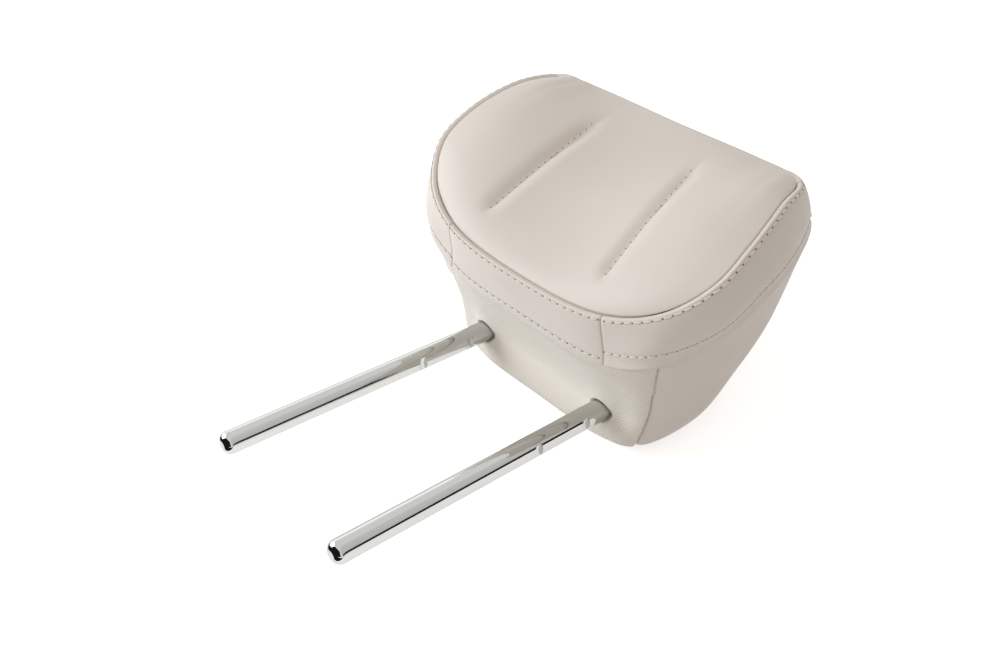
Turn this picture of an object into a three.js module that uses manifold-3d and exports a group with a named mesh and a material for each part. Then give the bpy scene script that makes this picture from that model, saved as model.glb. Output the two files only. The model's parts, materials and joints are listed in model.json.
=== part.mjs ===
// Car headrest: a sewn leather cushion on a plastic core that tilts on the cross bar of a
// chromed post tube. Lengths are millimetres. The cushion is drawn with x across, y up along
// its face and z out of the face, from the line where the posts leave it. The last group
// lays it on its back, as it comes to rest off the car.

import * as THREE from 'three';
import { mergeVertices } from 'three/addons/utils/BufferGeometryUtils.js';
import Module from 'manifold-3d';

const wasm = await Module();
wasm.setup();

// Cushion
const HALF_WIDTH = 115;
const HEIGHT = 157;
const FRONT_DEPTH = 110;
const BACK_DEPTH = 38;
const FACE_PUFF = 4.5;
const FACE_DISH = 15;
const BACK_CROWN = 9;
const REST_DEPTH = 0.8 * BACK_DEPTH;
const SIDE_PULL = 7;
const COVER_THICKNESS = 1.6;
const SEAM_GAP = 0.3;
const COVER_CLEARANCE = 0.45;
// The band is rolled over beside the face seam before it turns down
const LIP_REACH = 3.2;
const LIP_RISE = 0.3;

// Sewn channels in the face
const CHANNEL_FOOT_X = 51;
const CHANNEL_HEAD_X = 36.5;
const CHANNEL_FOOT_Y = 27.5;
const CHANNEL_HEAD_Y = 122.5;
const CHANNEL_HALF_WIDTH = 9.8;
const CHANNEL_LIP = 3.6;
const CHANNEL_DEPTH = 5.2;
const CHANNEL_FADE = 7;
// Its depth on the stitched column and the next ones, as a share of the whole
const CHANNEL_PROFILE = [1, 0.42, 0];

// Post tube
const POST_RADIUS = 7;
const POST_WALL = 1.6;
const POST_SPACING = 106.2;
const POST_LENGTH = 200;
const POST_LEAN = 23.8;
const BEND_RADIUS = 22;
const TIP_LENGTH = 4;
const TIP_ROUNDING = [[0, 0.51], [0.12, 0.68], [0.4, 0.88], [1, 1]];
const VENT_RADIUS = 2;
const VENT_PLACE = 21;
const NOTCH_PLACES = [21, 60];
const NOTCH_DEPTH = 1.8;
const NOTCH_LENGTH = 4;
const NOTCH_SLOPE = 3;
const NOTCH_UNDERCUT = 0.6;

// Tilt joint
const PIVOT_RISE = 40;
const TILT_RANGE = 20;
const RUNNING_GAP = 0.3;
const STOP_REACH = 6;
const STOP_WIDTH = 9;
const STOP_HALF_ANGLE = 16;
const STOP_PLACE = 144;
const STOP_SPARE = 2;
const LUG_ROOM = 1;
const LEG_ROOM = 1.3;
const LEG_SWEEP = 2 * PIVOT_RISE;

// Plastic core
const CORE_LEAN = 20;
const CORE_WALL = 2.4;
const CORE_FRONT_DEPTH = 24;
const CORE_REAR_DEPTH = 11.5;
const NECK_HALF_WIDTH = 28;
const NECK_BOTTOM = 13;
const PLATE_HALF_WIDTH = 66;
const PLATE_BOTTOM = 13;
const PLATE_TOP = 88;
const PLATE_CORNER = 12;
const RIB_SPACING = 26;
const RIB_COUNT = 4;
const RIB_DROP = 1;
const BOSS_RADIUS = 4;
const HOLE_FLOOR = 1;
const SCREW_RADIUS = 1.9;
const SCREW_HEAD_RADIUS = 3.6;
const SCREW_HEAD_HEIGHT = 2;
const SCREW_PLACES = [[-54, 24], [54, 24], [-54, 76], [54, 76]];
const CORE_SCREW_LENGTH = 26;
const FOAM_CLEARANCE = 0.5;

// Friction clips and bearing liners on the cross bar
const LINER_THICKNESS = 1.2;
const LINER_WIDTH = 6;
const CLIP_PLACE = 14;
const CLIP_WIDTH = 9;
const CLIP_THICKNESS = 1.2;
const CLIP_EAR = 9;
const CLIP_EAR_GAP = 2.4;
const CLIP_SCREW_LENGTH = 16;
const SIDES = ['left', 'right'];

// Closure strips behind the flap under the cushion
const STRIP_LENGTH = 116;
const STRIP_HEIGHT = 9;
const STRIP_THICKNESS = 1.4;
const STRIP_LIP = 0.8;
const STRIP_CATCH = 2.4;

// Trench in the foam that the stretch panel moves into as the posts tilt forward
const TRENCH_HALF_WIDTH = 78;
const TRENCH_TOP = 15;
const TRENCH_REAR = 1;
const TRENCH_SLOPE = 10;

// How far a cutting tool reaches past what it cuts, and joined shapes into each other
const CUT_PAST = 1;
const SUNK = 1;

// How far the face tips from level when the headrest lies on its back
const LYING_TILT = 10;

// Tessellation
const AROUND_POST = 20;
const BEND_STEPS = 6;
const SIDE_ROWS = 12;
const ARC_STEPS = 4;
const AROUND_SCREW = 10;
const SEARCH_STEPS = 20;
const ARC_STEP = 15;

const radians = THREE.MathUtils.degToRad;

// Half outlines from the bottom middle, up one side, to the top middle. The knots are the
// bottom middle, the band joint, the lower corner, three on the side, the upper corner, the
// shoulder and the top middle. Each is [across, up, out] as a share of the half width, the
// height and the depth in front of the posts or behind them.
const FACE_SEAM = [
  [0, 0.03, 0.77], [0.552, 0.06, 0.8], [0.817, 0.158, 0.872], [0.952, 0.31, 0.957],
  [0.957, 0.497, 0.998], [0.9, 0.725, 0.98], [0.826, 0.88, 0.9], [0.696, 0.904, 0.9], [0, 0.906, 0.9],
];
const BAND_EDGE = [
  [0, -0.026, 0.49], [0.578, -0.003, 0.5], [0.835, 0.078, 0.592], [0.961, 0.29, 0.596],
  [0.983, 0.484, 0.609], [0.96, 0.695, 0.605], [0.87, 0.908, 0.6], [0.73, 0.967, 0.6], [0, 0.988, 0.6],
];
const FLAP_LINE = [
  [0, 0.002, 0.35], [0.56, 0.008, 0.345], [0.793, 0.058, 0.32], [0.938, 0.28, 0.42],
  [0.965, 0.48, 0.455], [0.945, 0.7, 0.49], [0.858, 0.913, 0.52], [0.713, 0.97, 0.53], [0, 0.988, 0.54],
];
const TROUGH_LINE = [
  [0, 0.01, 0.03], [0.557, 0.013, 0.04], [0.745, 0.045, 0.1], [0.89, 0.26, 0.17],
  [0.91, 0.465, 0.2], [0.9, 0.708, 0.33], [0.82, 0.918, 0.43], [0.67, 0.965, 0.45], [0, 0.985, 0.46],
];
const BACK_EDGE = [
  [0, -0.076, -0.37], [0.46, -0.055, -0.5], [0.66, -0.002, -0.56], [0.797, 0.236, -0.56],
  [0.81, 0.462, -0.34], [0.825, 0.69, 0.065], [0.76, 0.91, 0.31], [0.61, 0.957, 0.36], [0, 0.976, 0.37],
];
const BACK_SEAM = [
  [0, 0.02, -0.76], [0.4, 0.026, -0.79], [0.539, 0.077, -0.84], [0.635, 0.27, -0.95],
  [0.652, 0.465, -0.95], [0.643, 0.67, -0.6], [0.6, 0.826, -0.1], [0.49, 0.877, 0.04], [0, 0.89, 0.055],
];
// How far the band swells past its two seams at each knot, in millimetres
const BAND_BULGES = [1.2, 2, 8, 9, 7, 6, 2.5, 5, 6];
const LAST_KNOT = FACE_SEAM.length - 1;
const JOINT_KNOT = 1;
const CORNER_KNOT = 2;
const UPPER_CORNER_KNOT = 6;

// Grid: columns run across the cushion and rows up it, and a loop of both is its rim
const COLUMNS_TO_JOINT = 7;
const HALF_COLUMNS = 12;
const COLUMNS = 2 * HALF_COLUMNS;
const RIM = 2 * (COLUMNS + SIDE_ROWS);
const CHANNEL_COLUMN = COLUMNS_TO_JOINT - 2;

// Stations down the cushion's side, counted in the knots of its section: the face seam, the
// band's rolled lip, its bulge, its lower edge, the flap line, the trough, the back's edge and
// the back seam
const STATIONS = [0, 1, 1.5, 2, 3, 4, 4.5, 5, 5.5, 6, 6.5, 7];
const BAND_STATIONS = STATIONS.indexOf(3);
const FLAP_STATION = STATIONS.indexOf(4);
const LAST_STATION = STATIONS.length - 1;

const sized = ([across, up, out]) => new THREE.Vector3(
  across * HALF_WIDTH,
  up * HEIGHT,
  out * (out > 0 ? FRONT_DEPTH : BACK_DEPTH),
);

// A closed outline through the knots and their mirror images
function outline(knots) {
  const right = knots.map(sized);
  const left = right.slice(1, LAST_KNOT).reverse();
  const mirrored = left.map((p) => new THREE.Vector3(-p.x, p.y, p.z));
  return new THREE.CatmullRomCurve3([...right, ...mirrored], true, 'centripetal');
}

const faceSeam = outline(FACE_SEAM);
const bandEdge = outline(BAND_EDGE);
const flapLine = outline(FLAP_LINE);
const troughLine = outline(TROUGH_LINE);
const backEdge = outline(BACK_EDGE);
const backSeam = outline(BACK_SEAM);

// Distances from the middle of the columns of one half, closer together beside a channel
function columnPlaces(channel, end) {
  const inner = channel - CHANNEL_HALF_WIDTH;
  const outer = channel + CHANNEL_HALF_WIDTH;
  const places = [0, inner / 3, (2 * inner) / 3, inner];
  places.push(channel - CHANNEL_LIP, channel, channel + CHANNEL_LIP);
  const rest = HALF_COLUMNS - COLUMNS_TO_JOINT;
  for (let i = 0; i <= rest; i += 1) {
    places.push(outer + ((end - outer) * i) / rest);
  }
  return places;
}

const footEnd = sized(FACE_SEAM[CORNER_KNOT]).x;
const headEnd = sized(FACE_SEAM[UPPER_CORNER_KNOT]).x;
const shoulder = sized(FACE_SEAM[UPPER_CORNER_KNOT + 1]).x;
const footPlaces = columnPlaces(CHANNEL_FOOT_X, footEnd);
const headPlaces = columnPlaces(CHANNEL_HEAD_X, headEnd);

const onOutline = (curve, knot) => curve.getPoint(knot / (2 * LAST_KNOT));

// The place along the face seam, counted in knots, that is a distance from the middle
function knotAcross(distance, from, to) {
  let near = from;
  let far = to;
  for (let step = 0; step < SEARCH_STEPS; step += 1) {
    const middle = (near + far) / 2;
    if (onOutline(faceSeam, middle).x < distance) {
      near = middle;
    } else {
      far = middle;
    }
  }
  return near;
}

// The same for a column's foot and head
function footKnot(column) {
  if (column < COLUMNS_TO_JOINT) {
    return knotAcross(footPlaces[column], 0, JOINT_KNOT);
  }
  const share = (column - COLUMNS_TO_JOINT) / (HALF_COLUMNS - COLUMNS_TO_JOINT);
  return JOINT_KNOT + share * (CORNER_KNOT - JOINT_KNOT);
}

function headKnot(column) {
  const x = headPlaces[column];
  const inner = x <= shoulder ? LAST_KNOT : LAST_KNOT - 1;
  return knotAcross(x, inner, inner - 1);
}

const sideKnot = (row) => CORNER_KNOT + ((UPPER_CORNER_KNOT - CORNER_KNOT) * row) / SIDE_ROWS;

// The place along the whole outline of a rim point, counted round from the bottom middle
function rimKnot(i) {
  const turned = ((i % RIM) + RIM) % RIM;
  if (turned > RIM / 2) {
    return 2 * LAST_KNOT - rimKnot(RIM - turned);
  }
  if (turned <= HALF_COLUMNS) {
    return footKnot(turned);
  }
  if (turned <= HALF_COLUMNS + SIDE_ROWS) {
    return sideKnot(turned - HALF_COLUMNS);
  }
  return headKnot(RIM / 2 - turned);
}

// The way out of the cushion, level with its face, at a place on the band's lower edge
function outwardAt(knot) {
  const along = bandEdge.getTangent(knot / (2 * LAST_KNOT));
  return new THREE.Vector3(along.y, -along.x, 0).normalize();
}

// Where the band is rolled over beside the face seam
function lipPoint(knot) {
  const lip = onOutline(faceSeam, knot).addScaledVector(outwardAt(knot), LIP_REACH);
  lip.z += LIP_RISE;
  return lip;
}

// Where the band bulges out between the face seam and its own lower edge
function bulgePoint(knot) {
  const middle = onOutline(faceSeam, knot).add(onOutline(bandEdge, knot)).multiplyScalar(0.5);
  const half = Math.min(knot, 2 * LAST_KNOT - knot);
  const low = Math.min(Math.floor(half), LAST_KNOT - 1);
  const bulge = THREE.MathUtils.lerp(BAND_BULGES[low], BAND_BULGES[low + 1], half - low);
  return middle.addScaledVector(outwardAt(knot), bulge);
}

// The section of the cushion's side at one rim point, from the face seam to the back seam
function sideSection(knot) {
  const knots = [
    onOutline(faceSeam, knot), lipPoint(knot), bulgePoint(knot), onOutline(bandEdge, knot),
    onOutline(flapLine, knot), onOutline(troughLine, knot), onOutline(backEdge, knot),
    onOutline(backSeam, knot),
  ];
  const curve = new THREE.CatmullRomCurve3(knots, false, 'centripetal');
  return STATIONS.map((place) => curve.getPoint(place / (knots.length - 1)));
}

const smooth = (value, low, high) => THREE.MathUtils.smoothstep(value, low, high);

// A four-sided sheet drawn between its rim's bottom, top and side curves
function sheetPoint(rim, column, row) {
  const side = column < 0 ? -1 : 1;
  const c = Math.abs(column);
  const t = row / SIDE_ROWS;
  const foot = rim(c);
  const head = rim(RIM / 2 - c);
  const edge = rim(HALF_COLUMNS + row);
  const low = rim(HALF_COLUMNS);
  const high = rim(HALF_COLUMNS + SIDE_ROWS);
  const share = foot.x / low.x * (1 - t) + head.x / high.x * t;
  const point = foot.clone().lerp(head, t);
  const sag = edge.clone().sub(low.clone().lerp(high, t));
  point.x += sag.x * share ** SIDE_PULL;
  point.y += sag.y;
  point.z += sag.z;
  point.x *= side;
  return { point, share, t };
}

// How deep a channel is at a column and height: deepest on its stitched line
function channelDepth(column, y) {
  const from = Math.abs(Math.abs(column) - CHANNEL_COLUMN);
  const across = CHANNEL_PROFILE[Math.min(from, CHANNEL_PROFILE.length - 1)];
  const foot = smooth(y, CHANNEL_FOOT_Y - CHANNEL_FADE, CHANNEL_FOOT_Y + CHANNEL_FADE);
  const head = 1 - smooth(y, CHANNEL_HEAD_Y - CHANNEL_FADE, CHANNEL_HEAD_Y + CHANNEL_FADE);
  return CHANNEL_DEPTH * across * foot * head;
}

// The face swells from its seam, dips between the wings and is drawn in at the channels
function facePoint(rim, column, row) {
  const { point, share, t } = sheetPoint(rim, column, row);
  const rise = Math.abs(2 * t - 1);
  const swell = FACE_PUFF * (1 - share ** 8) * (1 - rise ** 8);
  const dip = FACE_DISH * (1 - share ** 2) ** 2 * (1 - rise ** 2);
  point.z += swell - dip - channelDepth(column, point.y);
  return point;
}

// How high a cushion point is above the posts' line while the headrest lies on its back
const lyingHeight = (p) => p.y * Math.sin(radians(LYING_TILT)) + p.z * Math.cos(radians(LYING_TILT));

// The back is crowned, and pressed flat where it lies on the floor
function backPoint(rim, column, row) {
  const { point, share, t } = sheetPoint(rim, column, row);
  point.z -= BACK_CROWN * (1 - share ** 2) * (1 - (2 * t - 1) ** 2);
  const sunk = -REST_DEPTH - lyingHeight(point);
  if (sunk > 0) {
    point.z += sunk / Math.cos(radians(LYING_TILT));
  }
  return point;
}

// The cushion's whole surface as one grid: the face, the rim's stations and the back
function cushionSurface() {
  const sections = [];
  for (let i = 0; i < RIM; i += 1) {
    sections.push(sideSection(rimKnot(i)));
  }
  const points = [];
  const rimIndex = (i, station) => (((i % RIM) + RIM) % RIM) * (LAST_STATION + 1) + station;
  sections.forEach((section) => points.push(...section));
  const seamRim = (i) => sections[((i % RIM) + RIM) % RIM][0];
  const backRim = (i) => sections[((i % RIM) + RIM) % RIM][LAST_STATION];
  const grid = (rim, place, station) => {
    const nodes = [];
    for (let row = 0; row <= SIDE_ROWS; row += 1) {
      const line = [];
      for (let column = -HALF_COLUMNS; column <= HALF_COLUMNS; column += 1) {
        const onRim = rimPlace(column, row);
        if (onRim === null) {
          line.push(points.length);
          points.push(place(rim, column, row));
        } else {
          line.push(rimIndex(onRim, station));
        }
      }
      nodes.push(line);
    }
    return nodes;
  };
  const face = grid(seamRim, facePoint, 0);
  const back = grid(backRim, backPoint, LAST_STATION);
  return { points, rimIndex, face, back };
}

// The rim point at a column and row of a sheet, or null inside it
function rimPlace(column, row) {
  if (row === 0) {
    return column;
  }
  if (row === SIDE_ROWS) {
    return RIM / 2 - column;
  }
  if (column === HALF_COLUMNS) {
    return HALF_COLUMNS + row;
  }
  return column === -HALF_COLUMNS ? -HALF_COLUMNS - row : null;
}

const surface = cushionSurface();

// Four-sided facets of a sheet, facing out of the face or out of the back
function sheetFacets(nodes, outward) {
  const facets = [];
  for (let row = 0; row < SIDE_ROWS; row += 1) {
    for (let c = 0; c < COLUMNS; c += 1) {
      const facet = [nodes[row][c], nodes[row][c + 1], nodes[row + 1][c + 1], nodes[row + 1][c]];
      facets.push(outward ? facet : facet.reverse());
    }
  }
  return facets;
}

// Facets of the rim between two rim points and two stations
function rimFacets(from, to, first, last) {
  const facets = [];
  for (let i = from; i < to; i += 1) {
    for (let s = first; s < last; s += 1) {
      facets.push([
        surface.rimIndex(i, s), surface.rimIndex(i, s + 1),
        surface.rimIndex(i + 1, s + 1), surface.rimIndex(i + 1, s),
      ]);
    }
  }
  return facets;
}

const JOINT = COLUMNS_TO_JOINT;
const CORNER = HALF_COLUMNS;
const UPPER_CORNER = HALF_COLUMNS + SIDE_ROWS;
const faceFacets = sheetFacets(surface.face, true);
const backFacets = sheetFacets(surface.back, false);
const wholeSurface = [...faceFacets, ...rimFacets(0, RIM, 0, LAST_STATION), ...backFacets];

// Outward directions at the surface's points, averaged over the facets round each
function surfaceNormals() {
  const geometry = new THREE.BufferGeometry();
  geometry.setAttribute('position', new THREE.BufferAttribute(
    new Float32Array(surface.points.flatMap((p) => [p.x, p.y, p.z])), 3));
  geometry.setIndex(wholeSurface.flatMap(([a, b, c, d]) => [a, b, c, a, c, d]));
  geometry.computeVertexNormals();
  const normals = geometry.getAttribute('normal');
  return surface.points.map((_, i) => new THREE.Vector3().fromBufferAttribute(normals, i));
}

const normals = surfaceNormals();

function meshFrom(points, triangles) {
  const geometry = new THREE.BufferGeometry();
  geometry.setAttribute('position', new THREE.BufferAttribute(
    new Float32Array(points.flatMap((p) => [p.x, p.y, p.z])), 3));
  geometry.setIndex(triangles.flat());
  return geometry;
}

// Directed edges that only one facet has, so the edges of a panel
function openEdges(facets) {
  const edges = new Set();
  facets.forEach((facet) => facet.forEach((a, k) => edges.add(`${a} ${facet[(k + 1) % 4]}`)));
  return [...edges].map((e) => e.split(' ').map(Number)).filter(([a, b]) => !edges.has(`${b} ${a}`));
}

// How far a panel's edge is drawn back along its facets to leave the seam's gap
const HOLD_BACK = 0.75 * SEAM_GAP;

// A cover panel of even thickness, held back from its neighbours along the seams
function coverPanel(facets) {
  const edges = openEdges(facets);
  const onEdge = new Set(edges.flat());
  const pull = new Map();
  facets.forEach((facet) => {
    const centre = new THREE.Vector3();
    facet.forEach((i) => centre.addScaledVector(surface.points[i], 0.25));
    facet.filter((i) => onEdge.has(i)).forEach((i) => {
      const sum = pull.get(i) ?? new THREE.Vector3();
      pull.set(i, sum.add(centre).sub(surface.points[i]));
    });
  });
  const used = [...new Set(facets.flat())];
  const order = new Map(used.map((i, k) => [i, k]));
  const outer = used.map((i) => {
    const shift = pull.get(i)?.clone().setLength(HOLD_BACK) ?? new THREE.Vector3();
    return surface.points[i].clone().add(shift);
  });
  const inner = used.map((i, k) => outer[k].clone().addScaledVector(normals[i], -COVER_THICKNESS));
  const count = used.length;
  const triangles = [];
  facets.forEach((facet) => {
    const [a, b, c, d] = facet.map((i) => order.get(i));
    triangles.push([a, b, c], [a, c, d]);
    triangles.push([a + count, c + count, b + count], [a + count, d + count, c + count]);
  });
  edges.forEach((edge) => {
    const [a, b] = edge.map((i) => order.get(i));
    triangles.push([b, a, a + count], [b, a + count, b + count]);
  });
  return meshFrom([...outer, ...inner], triangles);
}

// The closed body inside the cover
function insideCover(depth) {
  const points = surface.points.map((p, i) => p.clone().addScaledVector(normals[i], -depth));
  return meshFrom(points, wholeSurface.flatMap(([a, b, c, d]) => [[a, b, c], [a, c, d]]));
}

// Joins and cuts
function solid(geometry) {
  const bare = geometry.clone();
  bare.deleteAttribute('normal');
  bare.deleteAttribute('uv');
  const merged = mergeVertices(bare, 1e-4);
  return new wasm.Manifold(new wasm.Mesh({
    numProp: 3,
    vertProperties: new Float32Array(merged.getAttribute('position').array),
    triVerts: new Uint32Array(merged.getIndex().array),
  }));
}

function geometryOf(body) {
  const mesh = body.getMesh();
  const geometry = new THREE.BufferGeometry();
  geometry.setAttribute('position', new THREE.BufferAttribute(new Float32Array(mesh.vertProperties), 3));
  geometry.setIndex(new THREE.BufferAttribute(new Uint32Array(mesh.triVerts), 1));
  return geometry;
}

const joined = (...geometries) => geometryOf(geometries.map(solid).reduce((a, b) => a.add(b)));
const cut = (geometry, ...tools) => (
  geometryOf(tools.map(solid).reduce((a, b) => a.subtract(b), solid(geometry)))
);

// A box by its lowest and highest corners
function block(low, high) {
  const size = high.map((value, k) => value - low[k]);
  const middle = high.map((value, k) => (value + low[k]) / 2);
  return new THREE.BoxGeometry(...size).translate(...middle);
}

// A round bar along x between two places
function barAcross(radius, from, to, segments = AROUND_POST) {
  const bar = new THREE.CylinderGeometry(radius, radius, to - from, segments);
  return bar.rotateZ(Math.PI / 2).translate((from + to) / 2, 0, 0);
}

// A flat outline in the y and z plane, made thick along x
function plateAcross(corners, from, to) {
  const shape = new THREE.Shape(corners.map(([y, z]) => new THREE.Vector2(y, z)));
  const plate = new THREE.ExtrudeGeometry(shape, { depth: to - from, bevelEnabled: false });
  const turned = new THREE.Matrix4().makeBasis(
    new THREE.Vector3(0, 1, 0), new THREE.Vector3(0, 0, 1), new THREE.Vector3(1, 0, 0));
  return plate.applyMatrix4(turned).translate(from, 0, 0);
}

// Post tube, drawn in its own frame: legs down -y, cross bar along x through the origin
const LEG_X = POST_SPACING / 2;
const LEG_REACH = PIVOT_RISE + POST_LENGTH;

// The stations of one half of the tube: where it is, which way it runs and how thick it is,
// with its tip rounded or cut square
function tubeStations(radius, rounded) {
  const stations = [];
  const legTop = -BEND_RADIUS;
  const down = new THREE.Vector3(0, 1, 0);
  if (rounded) {
    TIP_ROUNDING.forEach(([along, wide]) => {
      const y = -LEG_REACH + along * TIP_LENGTH;
      stations.push({ at: new THREE.Vector3(LEG_X, y, 0), run: down, radius: wide * radius });
    });
  } else {
    const y = -LEG_REACH + TIP_LENGTH;
    stations.push({ at: new THREE.Vector3(LEG_X, y, 0), run: down, radius });
  }
  for (let k = 0; k <= BEND_STEPS; k += 1) {
    const turn = (Math.PI / 2) * (k / BEND_STEPS);
    const at = new THREE.Vector3(
      LEG_X - BEND_RADIUS * (1 - Math.cos(turn)), legTop + BEND_RADIUS * Math.sin(turn), 0);
    stations.push({ at, run: new THREE.Vector3(-Math.sin(turn), Math.cos(turn), 0), radius });
  }
  return stations;
}

// A round body swept through stations that lie in the x and y plane
function sweptTube(radius, rounded) {
  const half = tubeStations(radius, rounded);
  const mirror = half.map(({ at, run, radius: r }) => ({
    at: new THREE.Vector3(-at.x, at.y, 0), run: new THREE.Vector3(run.x, -run.y, 0), radius: r,
  })).reverse();
  const stations = [...half, ...mirror];
  const points = [];
  stations.forEach(({ at, run, radius: r }) => {
    const side = new THREE.Vector3(run.y, -run.x, 0);
    for (let k = 0; k < AROUND_POST; k += 1) {
      const turn = (2 * Math.PI * k) / AROUND_POST;
      const spoke = side.clone().multiplyScalar(r * Math.cos(turn));
      spoke.z = r * Math.sin(turn);
      points.push(at.clone().add(spoke));
    }
  });
  const triangles = [];
  for (let s = 0; s + 1 < stations.length; s += 1) {
    for (let k = 0; k < AROUND_POST; k += 1) {
      const a = s * AROUND_POST + k;
      const b = s * AROUND_POST + ((k + 1) % AROUND_POST);
      triangles.push([a, a + AROUND_POST, b], [b, a + AROUND_POST, b + AROUND_POST]);
    }
  }
  const lastRing = (stations.length - 1) * AROUND_POST;
  for (let k = 1; k + 1 < AROUND_POST; k += 1) {
    triangles.push([0, k, k + 1], [lastRing, lastRing + k + 1, lastRing + k]);
  }
  return meshFrom(points, triangles);
}

// A ratchet notch: a steep wall towards the cushion, a flat floor and a slope
function notch(legX, place) {
  const floor = legX + POST_RADIUS - NOTCH_DEPTH;
  const outside = legX + POST_RADIUS + CUT_PAST;
  const top = -PIVOT_RISE - place + NOTCH_LENGTH / 2;
  const shape = new THREE.Shape([
    new THREE.Vector2(floor, top), new THREE.Vector2(outside, top + NOTCH_UNDERCUT),
    new THREE.Vector2(outside, top - NOTCH_LENGTH - NOTCH_SLOPE),
    new THREE.Vector2(floor, top - NOTCH_LENGTH),
  ]);
  const prism = new THREE.ExtrudeGeometry(shape, { depth: 2 * POST_RADIUS, bevelEnabled: false });
  return prism.translate(0, 0, -POST_RADIUS);
}

function postTube() {
  const outside = sweptTube(POST_RADIUS, true);
  const inside = sweptTube(POST_RADIUS - POST_WALL, false);
  const vent = new THREE.CylinderGeometry(VENT_RADIUS, VENT_RADIUS, POST_RADIUS, AROUND_SCREW);
  vent.rotateX(Math.PI / 2).translate(VENT_PLACE, 0, POST_RADIUS);
  const notches = [-LEG_X, LEG_X].flatMap((x) => NOTCH_PLACES.map((place) => notch(x, place)));
  return cut(outside, inside, vent, ...notches);
}

// The lug welded on the middle of the cross bar, which meets the core at both ends of the tilt
function stopLug() {
  const inner = POST_RADIUS + RUNNING_GAP;
  const outer = POST_RADIUS + STOP_REACH;
  return sector(inner, outer, STOP_PLACE - STOP_HALF_ANGLE, STOP_PLACE + STOP_HALF_ANGLE, STOP_WIDTH);
}

// Part of a ring about the x axis, between two angles from y towards z
function sector(inner, outer, from, to, width) {
  const corner = (radius, angle) => {
    const turn = radians(angle);
    return [radius * Math.cos(turn), radius * Math.sin(turn)];
  };
  const steps = Math.max(2, Math.round((to - from) / ARC_STEP));
  const corners = [];
  for (let k = 0; k <= steps; k += 1) {
    corners.push(corner(inner, from + ((to - from) * k) / steps));
  }
  for (let k = steps; k >= 0; k -= 1) {
    corners.push(corner(outer, from + ((to - from) * k) / steps));
  }
  return plateAcross(corners, -width / 2, width / 2);
}

// Core, drawn from the cross bar's axis: y up its plate, z forward, split at z = 0
function coreShape(inset) {
  const neck = NECK_HALF_WIDTH - inset;
  const wide = PLATE_HALF_WIDTH - inset;
  const round = PLATE_CORNER - inset;
  const low = -NECK_BOTTOM + inset;
  const step = PLATE_BOTTOM + inset;
  const high = PLATE_TOP - inset;
  const shape = new THREE.Shape();
  shape.moveTo(-neck, low);
  shape.lineTo(neck, low);
  shape.lineTo(neck, step);
  shape.lineTo(wide - round, step);
  shape.absarc(wide - round, step + round, round, -Math.PI / 2, 0, false);
  shape.absarc(wide - round, high - round, round, 0, Math.PI / 2, false);
  shape.absarc(-wide + round, high - round, round, Math.PI / 2, Math.PI, false);
  shape.absarc(-wide + round, step + round, round, Math.PI, 1.5 * Math.PI, false);
  shape.lineTo(-neck, step);
  return shape;
}

function coreBlock(inset, from, to) {
  const shape = coreShape(inset);
  const body = new THREE.ExtrudeGeometry(shape, { depth: to - from, bevelEnabled: false, curveSegments: ARC_STEPS });
  return body.translate(0, 0, from);
}

// A post for a screw along z
function boss([x, y], radius, from, to) {
  const post = new THREE.CylinderGeometry(radius, radius, to - from, AROUND_SCREW);
  return post.rotateX(Math.PI / 2).translate(x, y, (from + to) / 2);
}

// Ribs that cross the plate of a shell, from its floor to its rim
function coreRibs(from, to) {
  const half = CORE_WALL / 4;
  const low = PLATE_BOTTOM + CORE_WALL / 2;
  const high = PLATE_TOP - CORE_WALL / 2;
  const ribs = [];
  for (let k = 0; k < RIB_COUNT; k += 1) {
    const x = (k - (RIB_COUNT - 1) / 2) * RIB_SPACING;
    ribs.push(block([x - half, low, from], [x + half, high, to]));
  }
  const middle = (low + high) / 2;
  const reach = PLATE_HALF_WIDTH - CORE_WALL / 2;
  ribs.push(block([-reach, middle - half, from], [reach, middle + half, to]));
  return ribs;
}

const barHole = barAcross(POST_RADIUS + LINER_THICKNESS + RUNNING_GAP, -POST_SPACING, POST_SPACING);

// The front half of the core: a ribbed tray open to the rear, with bosses and the tilt's stops
function coreFrontShell() {
  const floor = CORE_FRONT_DEPTH - CORE_WALL;
  const sunk = CORE_FRONT_DEPTH - SUNK;
  const tray = cut(coreBlock(0, 0, CORE_FRONT_DEPTH), coreBlock(CORE_WALL, -CUT_PAST, floor));
  const places = [...SCREW_PLACES, ...clipScrewPlaces()];
  const bosses = places.map((place) => boss(place, BOSS_RADIUS, 0, sunk));
  const whole = joined(tray, ...coreRibs(RIB_DROP, sunk), ...bosses, stopRib());
  const holes = places.map((place) => boss(place, SCREW_RADIUS + RUNNING_GAP, -CUT_PAST, floor - HOLE_FLOOR));
  return cut(whole, barHole, ...holes, ...clipPockets());
}

const clipScrewPlaces = () => [-CLIP_PLACE, CLIP_PLACE].map((x) => [x, POST_RADIUS + CLIP_EAR]);

// A rib in the middle of the shell, with a window for the lug that ends its swing both ways
function stopRib() {
  const rest = STOP_PLACE - POST_LEAN - CORE_LEAN;
  const half = STOP_HALF_ANGLE + STOP_SPARE;
  const rib = block(
    [-STOP_WIDTH / 2, -NECK_BOTTOM + SUNK, RIB_DROP / 2],
    [STOP_WIDTH / 2, NECK_BOTTOM + SUNK, CORE_FRONT_DEPTH - SUNK]);
  const inner = POST_RADIUS - STOP_REACH;
  const outer = POST_RADIUS + STOP_REACH + LUG_ROOM;
  const width = STOP_WIDTH + 2 * CUT_PAST;
  return cut(rib, sector(inner, outer, rest - TILT_RANGE - half, rest + half, width));
}

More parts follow.
